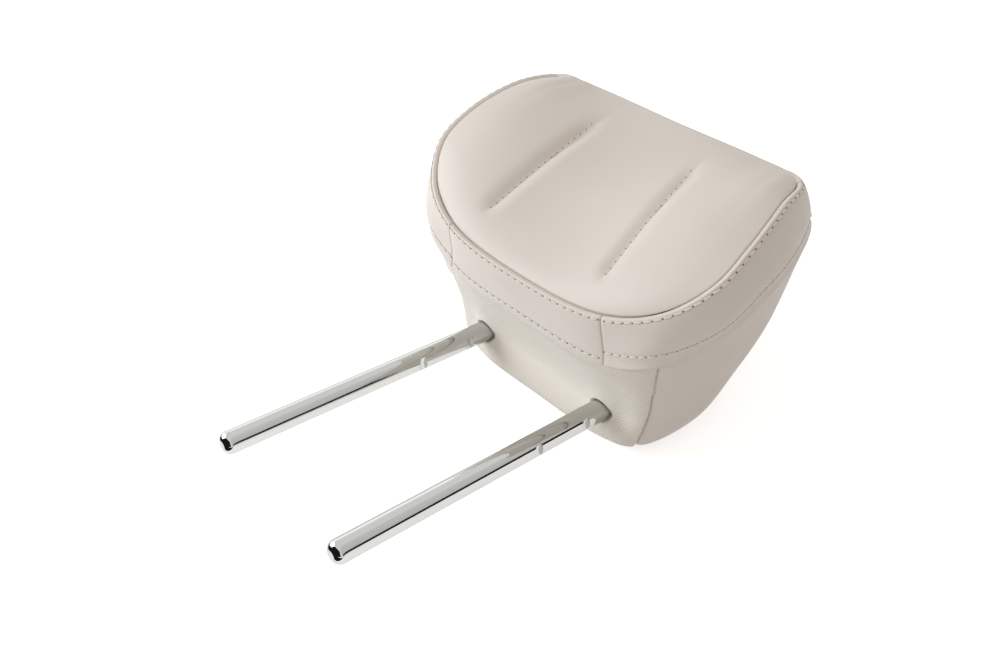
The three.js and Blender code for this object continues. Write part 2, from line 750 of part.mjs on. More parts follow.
// The rear half of the core: a shallow tray with a hole for each screw
function coreRearShell() {
  const rear = -CORE_REAR_DEPTH;
  const split = -RUNNING_GAP;
  const tray = cut(coreBlock(0, rear, split), coreBlock(CORE_WALL, rear + CORE_WALL, CUT_PAST));
  const bosses = SCREW_PLACES.map((place) => boss(place, BOSS_RADIUS, rear + SUNK, split));
  const whole = joined(tray, ...coreRibs(rear + SUNK, split), ...bosses);
  const low = rear - CUT_PAST;
  const holes = SCREW_PLACES.map((place) => boss(place, SCREW_RADIUS + RUNNING_GAP, low, CUT_PAST));
  const sinks = SCREW_PLACES.map((place) => (
    boss(place, SCREW_HEAD_RADIUS + RUNNING_GAP, low, rear + SCREW_HEAD_HEIGHT + RUNNING_GAP)));
  return cut(whole, barHole, ...holes, ...sinks, ...clipPockets());
}

// A pan head screw along z, with the underside of its head at one height
function screw(place, headFloor, length) {
  return joined(
    boss(place, SCREW_HEAD_RADIUS, headFloor - SCREW_HEAD_HEIGHT, headFloor),
    boss(place, SCREW_RADIUS, headFloor - SCREW_HEAD_HEIGHT / 2, headFloor + length));
}

// Bearing liner round the cross bar where it passes through a side wall of the neck
function liner(side) {
  const middle = side * (NECK_HALF_WIDTH - CORE_WALL / 2);
  const from = middle - LINER_WIDTH / 2;
  const to = middle + LINER_WIDTH / 2;
  const outer = POST_RADIUS + RUNNING_GAP / 2 + LINER_THICKNESS;
  const bore = POST_RADIUS + RUNNING_GAP / 2;
  return cut(barAcross(outer, from, to), barAcross(bore, from - CUT_PAST, to + CUT_PAST));
}

// Spring clip that grips the cross bar, with two ears on a screw
function frictionClip(side) {
  const bore = POST_RADIUS + RUNNING_GAP / 3;
  const outer = bore + CLIP_THICKNESS;
  const half = CLIP_WIDTH / 2;
  const band = cut(barAcross(outer, -half, half), barAcross(bore, -half - CUT_PAST, half + CUT_PAST));
  const mouth = block(
    [-half - CUT_PAST, 0, -CLIP_EAR_GAP / 2], [half + CUT_PAST, outer + CUT_PAST, CLIP_EAR_GAP / 2]);
  const open = cut(band, mouth);
  const reach = POST_RADIUS + CLIP_EAR + SCREW_HEAD_RADIUS;
  const near = CLIP_EAR_GAP / 2;
  const ears = [-1, 1].map((way) => block(
    [-half, bore + CLIP_THICKNESS / 4, Math.min(way * near, way * (near + CLIP_THICKNESS))],
    [half, reach, Math.max(way * near, way * (near + CLIP_THICKNESS))]));
  const hole = boss([0, POST_RADIUS + CLIP_EAR], SCREW_RADIUS + RUNNING_GAP, -outer, outer);
  return cut(joined(open, ...ears), hole).translate(side * CLIP_PLACE, 0, 0);
}

// Room for the clips and their screw heads between the two shells
function clipPockets() {
  const half = CLIP_WIDTH / 2 + RUNNING_GAP;
  const reach = POST_RADIUS + CLIP_EAR + SCREW_HEAD_RADIUS + RUNNING_GAP;
  const front = CLIP_EAR_GAP / 2 + CLIP_THICKNESS + RUNNING_GAP;
  const rear = front + SCREW_HEAD_HEIGHT + RUNNING_GAP;
  return [-1, 1].map((side) => block(
    [side * CLIP_PLACE - half, 0, -rear], [side * CLIP_PLACE + half, reach, front]));
}

// Two hooked strips, one sewn to each hem of the bottom cover, caught in each other
function closureStrips() {
  const t = STRIP_THICKNESS;
  const g = SEAM_GAP;
  const catchZ = -g - STRIP_LIP;
  const lipZ = catchZ - g;
  const rearZ = lipZ - t - g;
  const under = STRIP_HEIGHT - t;
  const bar = under - STRIP_CATCH - g;
  const front = [
    [0, t], [STRIP_HEIGHT, t], [STRIP_HEIGHT, lipZ - t], [under - STRIP_CATCH, lipZ - t],
    [under - STRIP_CATCH, lipZ], [under, lipZ], [under, 0], [0, 0],
  ];
  const rear = [
    [0, rearZ], [bar - t, rearZ], [bar - t, -g], [under - g, -g],
    [under - g, catchZ], [bar, catchZ], [bar, rearZ - t], [0, rearZ - t],
  ];
  return [front, rear].map((profile) => (
    plateAcross(profile, -STRIP_LENGTH / 2, STRIP_LENGTH / 2).translate(0, stripTop, stripPlace.z + t)));
}

// Frames: the cushion's own, and the tilt axis in it
const pivot = new THREE.Vector3(
  0, PIVOT_RISE * Math.cos(radians(POST_LEAN)), -PIVOT_RISE * Math.sin(radians(POST_LEAN)));
const postTurn = -radians(POST_LEAN);
const coreTurn = radians(CORE_LEAN);
const placedAtPivot = (geometry, turn) => geometry.clone().rotateX(turn).translate(pivot.x, pivot.y, pivot.z);

// The space that one leg sweeps below the cross bar as the cushion tilts
function legSweep(side) {
  const room = POST_RADIUS + LEG_ROOM;
  const turn = radians(TILT_RANGE);
  const front = (along, out) => [
    -along * Math.cos(turn) + out * Math.sin(turn), along * Math.sin(turn) + out * Math.cos(turn)];
  const profile = [[room, -room], [room, room], front(0, room), front(LEG_SWEEP, room), [-LEG_SWEEP, -room]];
  const wide = plateAcross(profile, LEG_X - room, LEG_X + room);
  const bend = [[room, -room], [room, room], front(BEND_RADIUS, room), [-BEND_RADIUS, -room]];
  const inner = plateAcross(bend, LEG_X - BEND_RADIUS - room, LEG_X);
  return joined(wide, inner).scale(side, 1, 1);
}

const mirrorSafe = (geometry, side) => (side > 0 ? geometry : flipped(geometry));

// Turns the facets over again after a mirror image has turned them inside out
function flipped(geometry) {
  const index = geometry.getIndex().array;
  for (let k = 0; k < index.length; k += 3) {
    [index[k], index[k + 1]] = [index[k + 1], index[k]];
  }
  return geometry;
}

const sweeps = [-1, 1].map((side) => placedAtPivot(mirrorSafe(legSweep(side), side), postTurn));

// Where the closure strips hang behind the flap
const stripPlace = onOutline(flapLine, 0);
const stripTop = stripPlace.y + COVER_THICKNESS + 2 * COVER_CLEARANCE;
const closureRear = stripPlace.z - 4 * STRIP_THICKNESS;

function foamCushion() {
  const body = insideCover(COVER_THICKNESS + COVER_CLEARANCE);
  const room = FOAM_CLEARANCE;
  const core = coreBlock(-room, -CORE_REAR_DEPTH - room, CORE_FRONT_DEPTH + room);
  const bar = barAcross(POST_RADIUS + LINER_THICKNESS + 1, -LEG_X, LEG_X);
  const tools = [core, bar].map((tool) => placedAtPivot(tool, coreTurn));
  const reach = STRIP_LENGTH / 2 + room;
  const closure = block(
    [-reach, stripTop - STRIP_HEIGHT, closureRear],
    [reach, stripTop + STRIP_HEIGHT + room, stripPlace.z + 2 * STRIP_THICKNESS + room]);
  return cut(body, ...tools, ...sweeps, closure, trench());
}

// The trench under the cross bar, from behind the posts to the closure strips
function trench() {
  const front = closureRear + CUT_PAST;
  const low = stripTop - STRIP_HEIGHT;
  const profile = [[low, TRENCH_REAR], [0, TRENCH_REAR], [TRENCH_TOP, TRENCH_REAR + TRENCH_SLOPE],
    [TRENCH_TOP, front], [low, front]];
  return plateAcross(profile, -TRENCH_HALF_WIDTH, TRENCH_HALF_WIDTH);
}

// Finishes
const LEATHER = { color: 0xd8d1ca, roughness: 0.55, metalness: 0 };
const STRETCH_FABRIC = { color: 0xdfdad4, roughness: 0.9, metalness: 0 };
const CHROME = { color: 0xd9dcde, roughness: 0.08, metalness: 1 };
const STEEL = { color: 0x9a9da0, roughness: 0.35, metalness: 1 };
const FOAM = { color: 0xe8dcae, roughness: 1, metalness: 0 };
const PLASTIC = { color: 0x2c2d2f, roughness: 0.6, metalness: 0 };
const LINER_PLASTIC = { color: 0xe9e7e0, roughness: 0.5, metalness: 0 };

function named(name, geometry, finish) {
  const mesh = new THREE.Mesh(geometry, new THREE.MeshStandardMaterial(finish));
  mesh.name = name;
  return mesh;
}

function coverMeshes() {
  const top = rimFacets(UPPER_CORNER, RIM - UPPER_CORNER, 0, LAST_STATION);
  const bottom = coverPanel(rimFacets(-CORNER, CORNER, FLAP_STATION, LAST_STATION));
  return [
    named('face_cover', coverPanel([...faceFacets, ...top]), LEATHER),
    named('back_cover', coverPanel(backFacets), LEATHER),
    named('band_bottom', coverPanel(rimFacets(-JOINT, JOINT, 0, BAND_STATIONS)), LEATHER),
    named('band_right', coverPanel(rimFacets(JOINT, UPPER_CORNER, 0, BAND_STATIONS)), LEATHER),
    named('band_left', coverPanel(rimFacets(-UPPER_CORNER, -JOINT, 0, BAND_STATIONS)), LEATHER),
    named('side_panel_right',
      coverPanel(rimFacets(CORNER, UPPER_CORNER, BAND_STATIONS, LAST_STATION)), LEATHER),
    named('side_panel_left',
      coverPanel(rimFacets(-UPPER_CORNER, -CORNER, BAND_STATIONS, LAST_STATION)), LEATHER),
    named('bottom_flap', coverPanel(rimFacets(-CORNER, CORNER, BAND_STATIONS, FLAP_STATION)), STRETCH_FABRIC),
    named('bottom_stretch_panel', cut(bottom, ...sweeps), STRETCH_FABRIC),
  ];
}

function closureMeshes() {
  const [front, rear] = closureStrips();
  return [
    named('closure_strip_front', front, LINER_PLASTIC),
    named('closure_strip_rear', rear, LINER_PLASTIC),
  ];
}

function coreGroup() {
  const rear = -CORE_REAR_DEPTH;
  const shellScrews = SCREW_PLACES.map((place, k) => (
    named(`core_screw_${k + 1}`, screw(place, rear + SCREW_HEAD_HEIGHT, CORE_SCREW_LENGTH), STEEL)));
  const earBack = -CLIP_EAR_GAP / 2 - CLIP_THICKNESS - RUNNING_GAP;
  const clipScrews = clipScrewPlaces().map((place, k) => (
    named(`clip_screw_${SIDES[k]}`, screw(place, earBack, CLIP_SCREW_LENGTH), STEEL)));
  const group = new THREE.Group();
  group.add(
    named('core_front_shell', coreFrontShell(), PLASTIC),
    named('core_rear_shell', coreRearShell(), PLASTIC),
    ...shellScrews,
    ...clipScrews,
    named('friction_clip_left', frictionClip(-1), STEEL),
    named('friction_clip_right', frictionClip(1), STEEL),
    named('bearing_liner_left', liner(-1), LINER_PLASTIC),
    named('bearing_liner_right', liner(1), LINER_PLASTIC),
  );
  group.position.copy(pivot);
  group.rotation.x = coreTurn;
  return group;
}

function postGroup() {
  const group = new THREE.Group();
  group.add(named('post_tube', postTube(), CHROME), named('stop_lug', stopLug(), STEEL));
  group.position.copy(pivot);
  group.rotation.x = postTurn;
  return group;
}

const headrest = new THREE.Group();
headrest.add(
  named('foam_cushion', foamCushion(), FOAM),
  ...coverMeshes(),
  ...closureMeshes(),
  coreGroup(),
  postGroup(),
);
headrest.rotation.x = radians(LYING_TILT);

// The origin is under the middle of the whole part, on the floor that it lies on
const placed = new THREE.Group();
placed.add(headrest);
placed.updateMatrixWorld(true);
const extent = new THREE.Box3().setFromObject(placed, true);
placed.position.set(0, -(extent.min.y + extent.max.y) / 2, -extent.min.z);

export default placed;
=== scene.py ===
"""A car headrest: leather sewn over foam, which tilts on a pair of chromed posts.

The cushion is drawn in millimetres in its own axes, x across, y up along its face and z out
of the face, from the line where the posts leave it. `Lying` turns those into the frame's
metres.
"""

import json
import logging
import math
from dataclasses import dataclass, field
from enum import Enum

import bmesh
import bpy
import numpy as np
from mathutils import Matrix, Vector


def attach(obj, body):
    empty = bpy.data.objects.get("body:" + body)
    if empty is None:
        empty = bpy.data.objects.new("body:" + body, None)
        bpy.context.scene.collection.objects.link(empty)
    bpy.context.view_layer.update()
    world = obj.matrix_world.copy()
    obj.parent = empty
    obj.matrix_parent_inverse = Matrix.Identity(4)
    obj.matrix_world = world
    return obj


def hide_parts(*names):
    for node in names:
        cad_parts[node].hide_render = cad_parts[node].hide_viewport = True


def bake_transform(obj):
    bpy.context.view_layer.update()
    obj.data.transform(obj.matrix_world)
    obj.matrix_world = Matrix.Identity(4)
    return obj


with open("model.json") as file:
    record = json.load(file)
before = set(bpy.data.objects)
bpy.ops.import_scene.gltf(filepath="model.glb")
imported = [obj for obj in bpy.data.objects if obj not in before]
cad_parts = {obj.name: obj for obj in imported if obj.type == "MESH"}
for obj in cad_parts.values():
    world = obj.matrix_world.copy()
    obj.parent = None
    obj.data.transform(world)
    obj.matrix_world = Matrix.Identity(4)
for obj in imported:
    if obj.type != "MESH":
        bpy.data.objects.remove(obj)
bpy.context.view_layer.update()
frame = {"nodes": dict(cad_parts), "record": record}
LOG = logging.getLogger("headrest")
MILLIMETRE = 0.001
LEAST_STEP = 1e-6
TINY = 1e-9
CLOTH_PLACE = "cloth_place"
# Rows beside each edge of a panel, and how far its edge is held back from the seam's line
EDGE_ROWS = (0.0, 0.15, 0.35, 0.6, 0.9, 1.4, 2.2)
SEAM_HOLD = 0.14
# The colour sockets of a Mix node, which share their names with its other sockets
MIX_FIRST, MIX_SECOND, MIX_RESULT = 6, 7, 2
# The curve that turns a screen's colour into light
SCREEN_WHITE, TOE, TOE_SLOPE, TOE_OFFSET, SCREEN_GAMMA = 255, 0.04045, 12.92, 0.055, 2.4


class Body(Enum):
    """The two bodies that the tilt joint joins."""

    CUSHION = "cushion"
    POSTS = "posts"


class Side(Enum):
    """A side of the headrest, seen from its face."""

    LEFT = -1
    RIGHT = 1


def smoothstep(value: np.ndarray, low: float, high: float) -> np.ndarray:
    """Rises from 0 to 1 between two values.

    Args:
        value: What is looked up.
        low: Where the rise starts.
        high: Where it ends.

    Returns:
        The share for each value.
    """
    share = np.clip((value - low) / (high - low), 0.0, 1.0)
    return share * share * (3.0 - 2.0 * share)


def through(knots: np.ndarray, places: np.ndarray, closed: bool) -> np.ndarray:
    """A centripetal curve through knots.

    Args:
        knots: Knots, with the last two axes as knot and coordinate.
        places: Places along the curve, counted in knots.
        closed: Whether the curve joins its own start.

    Returns:
        Points, with the places in place of the knots.
    """
    count = knots.shape[-2]
    if closed:
        wide = np.concatenate([knots[..., -1:, :], knots, knots[..., :2, :]], axis=-2)
        turned = np.mod(places, count)
        first = np.minimum(np.floor(turned).astype(int), count - 1)
    else:
        before = 2 * knots[..., :1, :] - knots[..., 1:2, :]
        after = 2 * knots[..., -1:, :] - knots[..., -2:-1, :]
        wide = np.concatenate([before, knots, after], axis=-2)
        turned = np.clip(places, 0, count - 1)
        first = np.minimum(np.floor(turned).astype(int), count - 2)
    share = (turned - first)[:, None]
    p0, p1, p2, p3 = (wide[..., first + k, :] for k in range(4))

    def reach(a: np.ndarray, b: np.ndarray) -> np.ndarray:
        """The parameter's step between two knots."""
        return np.maximum(np.linalg.norm(b - a, axis=-1, keepdims=True), LEAST_STEP) ** 0.5

    d0, d1, d2 = reach(p0, p1), reach(p1, p2), reach(p2, p3)
    t1 = ((p1 - p0) / d0 - (p2 - p0) / (d0 + d1) + (p2 - p1) / d1) * d1
    t2 = ((p2 - p1) / d1 - (p3 - p1) / (d1 + d2) + (p3 - p2) / d2) * d1
    c2 = -3 * p1 + 3 * p2 - 2 * t1 - t2
    c3 = 2 * p1 - 2 * p2 + t1 + t2
    return p1 + t1 * share + c2 * share**2 + c3 * share**3


def spaced(length: float, step: float) -> np.ndarray:
    """Shares along a panel, closer together beside its two edges.

    Args:
        length: The panel's length, in millimetres.
        step: The usual spacing.

    Returns:
        Rising shares.
    """
    inner = (np.array(EDGE_ROWS) + SEAM_HOLD) / length
    count = max(2, int(round(length * (1 - 2 * inner[-1]) / step)))
    middle = np.linspace(inner[-1], 1 - inner[-1], count + 1)
    return np.concatenate([inner[:-1], middle, 1 - inner[:-1][::-1]])


@dataclass(frozen=True)
class Lying:
    """How the headrest lies on its back, and where its own axes are in the frame."""

    tilt: float = 10.0
    post_lean: float = 23.8
    pivot_rise: float = 40.0

    def origin(self) -> np.ndarray:
        """Where the posts leave the cushion.

        Returns:
            The place in the frame's metres.
        """
        joint = frame["record"]["behaviour"]["joints"][0]
        lean = math.radians(self.post_lean)
        pivot = np.array([[0.0, self.pivot_rise * math.cos(lean), -self.pivot_rise * math.sin(lean)]])
        return np.array(joint["pos_m"]) - self.turned(pivot)[0] * MILLIMETRE

    def turned(self, points: np.ndarray) -> np.ndarray:
        """Turns points from the cushion's axes to the frame's.

        Args:
            points: Points in millimetres.

        Returns:
            The turned points, still in millimetres.
        """
        lean = math.radians(self.tilt)
        x, y, z = points[..., 0], points[..., 1], points[..., 2]
        up = y * math.sin(lean) + z * math.cos(lean)
        along = y * math.cos(lean) - z * math.sin(lean)
        return np.stack([x, along, up], axis=-1)

    def place(self, points: np.ndarray) -> np.ndarray:
        """Points of the cushion in the frame's metres."""
        return self.turned(points) * MILLIMETRE + self.origin()

    def home(self, points: np.ndarray) -> np.ndarray:
        """Turns points of the frame back into the cushion's own axes.

        Args:
            points: Points in metres.

        Returns:
            The points in millimetres.
        """
        away = (points - self.origin()) / MILLIMETRE
        lean = math.radians(self.tilt)
        up = away[..., 1] * math.cos(lean) + away[..., 2] * math.sin(lean)
        out = away[..., 2] * math.cos(lean) - away[..., 1] * math.sin(lean)
        return np.stack([away[..., 0], up, out], axis=-1)

    def along_posts(self, points: np.ndarray) -> np.ndarray:
        """Turns points drawn along the posts into the cushion's axes.

        Args:
            points: Points with y up the posts.

        Returns:
            The turned points.
        """
        lean = math.radians(self.post_lean)
        x, y, z = points[..., 0], points[..., 1], points[..., 2]
        up = y * math.cos(lean) + z * math.sin(lean)
        out = z * math.cos(lean) - y * math.sin(lean)
        return np.stack([x, up, out], axis=-1)


LYING = Lying()


# Half outlines from the bottom middle, up one side, to the top middle, as shares of the half
# width, the height and the depth in front of the posts or behind them
FACE_SEAM = (
    (0, 0.03, 0.77), (0.552, 0.06, 0.8), (0.817, 0.158, 0.872), (0.952, 0.31, 0.957),
    (0.957, 0.497, 0.998), (0.9, 0.725, 0.98), (0.826, 0.88, 0.9), (0.696, 0.904, 0.9), (0, 0.906, 0.9),
)
BAND_EDGE = (
    (0, -0.026, 0.49), (0.578, -0.003, 0.5), (0.852, 0.074, 0.592), (0.982, 0.288, 0.596),
    (1.003, 0.484, 0.609), (0.98, 0.697, 0.605), (0.87, 0.908, 0.6), (0.73, 0.967, 0.6), (0, 0.988, 0.6),
)
FLAP_LINE = (
    (0, 0.002, 0.35), (0.56, 0.008, 0.345), (0.793, 0.058, 0.32), (0.938, 0.28, 0.42),
    (0.965, 0.48, 0.455), (0.945, 0.7, 0.49), (0.858, 0.913, 0.52), (0.713, 0.97, 0.53), (0, 0.988, 0.54),
)
TROUGH_LINE = (
    (0, 0.01, 0.03), (0.557, 0.013, 0.04), (0.745, 0.045, 0.1), (0.89, 0.26, 0.17),
    (0.91, 0.465, 0.2), (0.9, 0.708, 0.33), (0.82, 0.918, 0.43), (0.67, 0.965, 0.45), (0, 0.985, 0.46),
)
BACK_EDGE = (
    (0, -0.076, -0.37), (0.46, -0.055, -0.5), (0.66, -0.002, -0.56), (0.797, 0.236, -0.56),
    (0.81, 0.462, -0.34), (0.825, 0.69, 0.065), (0.76, 0.91, 0.31), (0.61, 0.957, 0.36), (0, 0.976, 0.37),
)
BACK_SEAM = (
    (0, 0.02, -0.76), (0.4, 0.026, -0.79), (0.539, 0.077, -0.84), (0.635, 0.27, -0.95),
    (0.652, 0.465, -0.95), (0.643, 0.67, -0.6), (0.6, 0.826, -0.1), (0.49, 0.877, 0.04), (0, 0.89, 0.055),
)
BAND_BULGES = (1.2, 2, 6, 6.4, 6, 6, 4.2, 3.4, 3.2)
LAST_KNOT = 8
JOINT_KNOT = 1
CORNER_KNOT = 2
UPPER_CORNER_KNOT = 6


class Place(Enum):
    """Where the cushion's side lines lie along its section."""

    SEAM = 0
    LIP = 1
    BULGE = 2
    BAND_EDGE = 3
    FLAP_LINE = 4
    TROUGH = 5
    BACK_EDGE = 6
    BACK_SEAM = 7


@dataclass(frozen=True)
class Cushion:
    """The form of the cushion, which every panel is cut from."""

    half_width: float = 115.0
    height: float = 157.0
    front_depth: float = 110.0
    back_depth: float = 38.0
    face_puff: float = 4.5
    face_dish: float = 15.0
    back_crown: float = 9.0
    side_pull: int = 7
    rest_share: float = 0.8
    lip_reach: float = 3.2
    lip_rise: float = 0.3
    channel_foot: tuple[float, float] = (51.0, 27.5)
    channel_head: tuple[float, float] = (36.5, 114.5)
    channel_half_width: float = 9.8
    channel_lip: float = 3.6
    channel_reach: float = 9.5
    channel_depth: float = 2.9
    channel_floor: float = 0.6
    channel_fade: float = 7.0
    columns_to_joint: int = 7
    half_columns: int = 12
    channel_column: float = 5.0
    edge_power: int = 8
    nudge: float = 0.0016
    lookups: int = 400

    def outline(self, shares: tuple) -> np.ndarray:
        """The knots of one closed outline.

        Args:
            shares: The right half of the outline, as shares of the cushion's sizes.

        Returns:
            The knots in millimetres.
        """
        right = np.array(shares, float)
        depth = np.where(right[:, 2] > 0, self.front_depth, self.back_depth)
        right = np.stack([right[:, 0] * self.half_width, right[:, 1] * self.height, right[:, 2] * depth], 1)
        left = right[1:LAST_KNOT][::-1] * np.array([-1.0, 1.0, 1.0])
        return np.concatenate([right, left])

    def seam(self, knots: np.ndarray) -> np.ndarray:
        """Points of the face's own seam line."""
        return through(self.outline(FACE_SEAM), knots, True)

    def outward(self, knots: np.ndarray) -> np.ndarray:
        """The way out of the cushion, level with its face.

        Args:
            knots: Places round the band's edge, counted in knots.

        Returns:
            A direction for each place.
        """
        edge = self.outline(BAND_EDGE)
        along = through(edge, knots + self.nudge, True) - through(edge, knots - self.nudge, True)
        out = np.stack([along[:, 1], -along[:, 0], np.zeros(len(knots))], 1)
        return out / np.linalg.norm(out, axis=1, keepdims=True)

    def lip(self, knots: np.ndarray) -> np.ndarray:
        """Where the band is rolled over beside the face seam."""
        return self.seam(knots) + self.outward(knots) * self.lip_reach + np.array([0, 0, self.lip_rise])

    def bulge(self, knots: np.ndarray) -> np.ndarray:
        """Where the band swells out between its two seams.

        Args:
            knots: Places round the cushion, counted in knots.

        Returns:
            One point for each place.
        """
        turned = np.mod(knots, 2 * LAST_KNOT)
        half = np.minimum(turned, 2 * LAST_KNOT - turned)
        eased = np.floor(half) + smoothstep(half - np.floor(half), 0.0, 1.0)
        swell = np.interp(eased, np.arange(LAST_KNOT + 1), BAND_BULGES)
        middle = (self.seam(knots) + through(self.outline(BAND_EDGE), knots, True)) / 2
        return middle + self.outward(knots) * swell[:, None]

    def sides(self, knots: np.ndarray, places: np.ndarray) -> np.ndarray:
        """The side of the cushion between its face seam and its back seam.

        Args:
            knots: Places round the cushion, counted in knots.
            places: Places along each section, as in `Place`.

        Returns:
            A grid of points, knots by places.
        """
        lines = [self.seam(knots), self.lip(knots), self.bulge(knots)]
        for shares in (BAND_EDGE, FLAP_LINE, TROUGH_LINE, BACK_EDGE, BACK_SEAM):
            lines.append(through(self.outline(shares), knots, True))
        return through(np.stack(lines, axis=1), places, False)

    def columns(self, channel: float) -> np.ndarray:
        """How far the columns beside and in a channel are from the middle.

        Args:
            channel: How far the channel is from the middle.

        Returns:
            The columns' distances.
        """
        inner = channel - self.channel_half_width
        lip = self.channel_lip
        return np.array([0, inner / 3, 2 * inner / 3, inner, channel - lip, channel, channel + lip])

    def knots_across(self, places: np.ndarray, start: float, end: float) -> np.ndarray:
        """The seam's knots at given distances from the middle.

        Args:
            places: The distances.
            start: The knot nearer the middle.
            end: The knot further out.

        Returns:
            A knot for each distance.
        """
        knots = np.linspace(start, end, self.lookups)
        return np.interp(places, self.seam(knots)[:, 0], knots)

    def column_knots(self) -> tuple[np.ndarray, np.ndarray]:
        """The seam's knots at the foot and at the head of each column of one half.

        Returns:
            The foot knots and the head knots.
        """
        rest = self.half_columns - self.columns_to_joint
        foot = np.concatenate([
            self.knots_across(self.columns(self.channel_foot[0]), 0, JOINT_KNOT),
            np.linspace(JOINT_KNOT, CORNER_KNOT, rest + 1),
        ])
        ends = self.seam(np.array([UPPER_CORNER_KNOT, UPPER_CORNER_KNOT + 1.0]))[:, 0]
        outer = self.channel_head[0] + self.channel_half_width
        places = np.concatenate([
            self.columns(self.channel_head[0]), np.linspace(outer, ends[0], rest + 1),
        ])
        inside = self.knots_across(places, LAST_KNOT, LAST_KNOT - 1)
        outside = self.knots_across(places, LAST_KNOT - 1, UPPER_CORNER_KNOT)
        return foot, np.where(places <= ends[1], inside, outside)

    def sheet(self, line: np.ndarray, columns: np.ndarray, rows: np.ndarray) -> tuple:
        """A four-sided sheet between one outline's bottom, top and side curves.

        Args:
            line: The outline's knots.
            columns: Signed columns across.
            rows: Shares up the sheet.

        Returns:
            The grid of points, and each column's and row's share of the way to the edge.
        """
        foot_knots, head_knots = self.column_knots()
        reach = np.abs(columns)
        foot = through(line, np.interp(reach, np.arange(len(foot_knots)), foot_knots), True)
        head = through(line, np.interp(reach, np.arange(len(head_knots)), head_knots), True)
        edge = through(line, CORNER_KNOT + (UPPER_CORNER_KNOT - CORNER_KNOT) * rows, True)
        low, high = through(line, np.array([CORNER_KNOT, UPPER_CORNER_KNOT], float), True)
        t = rows[None, :]
        share = foot[:, :1] / low[0] * (1 - t) + head[:, :1] / high[0] * t
        points = foot[:, None, :] * (1 - t[..., None]) + head[:, None, :] * t[..., None]
        sag = edge - (low * (1 - rows[:, None]) + high * rows[:, None])
        points[..., 0] += sag[None, :, 0] * share**self.side_pull
        points[..., 1:] += sag[None, :, 1:]
        points[..., 0] *= np.sign(columns + TINY)[:, None]
        return points, share, np.abs(2 * t - 1)

    def from_channel(self, points: np.ndarray, rows: np.ndarray) -> np.ndarray:
        """How far points of the face are from the nearer channel's stitched line.

        Args:
            points: Points of the face, columns by rows.
            rows: Shares up the face.

        Returns:
            The distance of each, in millimetres.
        """
        line = self.sheet(self.outline(FACE_SEAM), np.array([self.channel_column]), rows)[0]
        return np.abs(np.abs(points[..., 0]) - line[..., 0])

    def channel(self, away: np.ndarray, height: np.ndarray) -> np.ndarray:
        """How deep the sewn channels are.

        Args:
            away: Distances from the stitched line.
            height: Heights up the face.

        Returns:
            The depths, in millimetres.
        """
        beside = np.maximum(away - self.channel_floor, 0)
        across = np.clip(1 - beside / self.channel_reach, 0, 1) ** 2
        fade = self.channel_fade
        foot = smoothstep(height, self.channel_foot[1] - fade, self.channel_foot[1] + fade)
        head = smoothstep(height, self.channel_head[1] - fade, self.channel_head[1] + fade)
        return self.channel_depth * across * foot * (1 - head)

    def face(self, columns: np.ndarray, rows: np.ndarray) -> np.ndarray:
        """The face, swelling from its seam and dished between its wings.

        Args:
            columns: Signed columns across.
            rows: Shares up the face.

        Returns:
            A grid of points, columns by rows.
        """
        points, share, rise = self.sheet(self.outline(FACE_SEAM), columns, rows)
        swell = self.face_puff * (1 - share**self.edge_power) * (1 - rise**self.edge_power)
        dip = self.face_dish * (1 - share**2) ** 2 * (1 - rise**2)
        points[..., 2] += swell - dip
        points[..., 2] -= self.channel(self.from_channel(points, rows), points[..., 1])
        return points

    def back(self, columns: np.ndarray, rows: np.ndarray) -> np.ndarray:
        """The back, crowned, and flat where the headrest lies on it.

        Args:
            columns: Signed columns across.
            rows: Shares up the back.

        Returns:
            A grid of points, columns by rows.
        """
        points, share, rise = self.sheet(self.outline(BACK_SEAM), columns, rows)
        points[..., 2] -= self.back_crown * (1 - share**2) * (1 - rise**2)
        lean = math.radians(LYING.tilt)
        height = points[..., 1] * math.sin(lean) + points[..., 2] * math.cos(lean)
        sunk = np.maximum(0, -self.rest_share * self.back_depth - height)
        points[..., 2] += sunk / math.cos(lean)
        return points


CUSHION = Cushion()


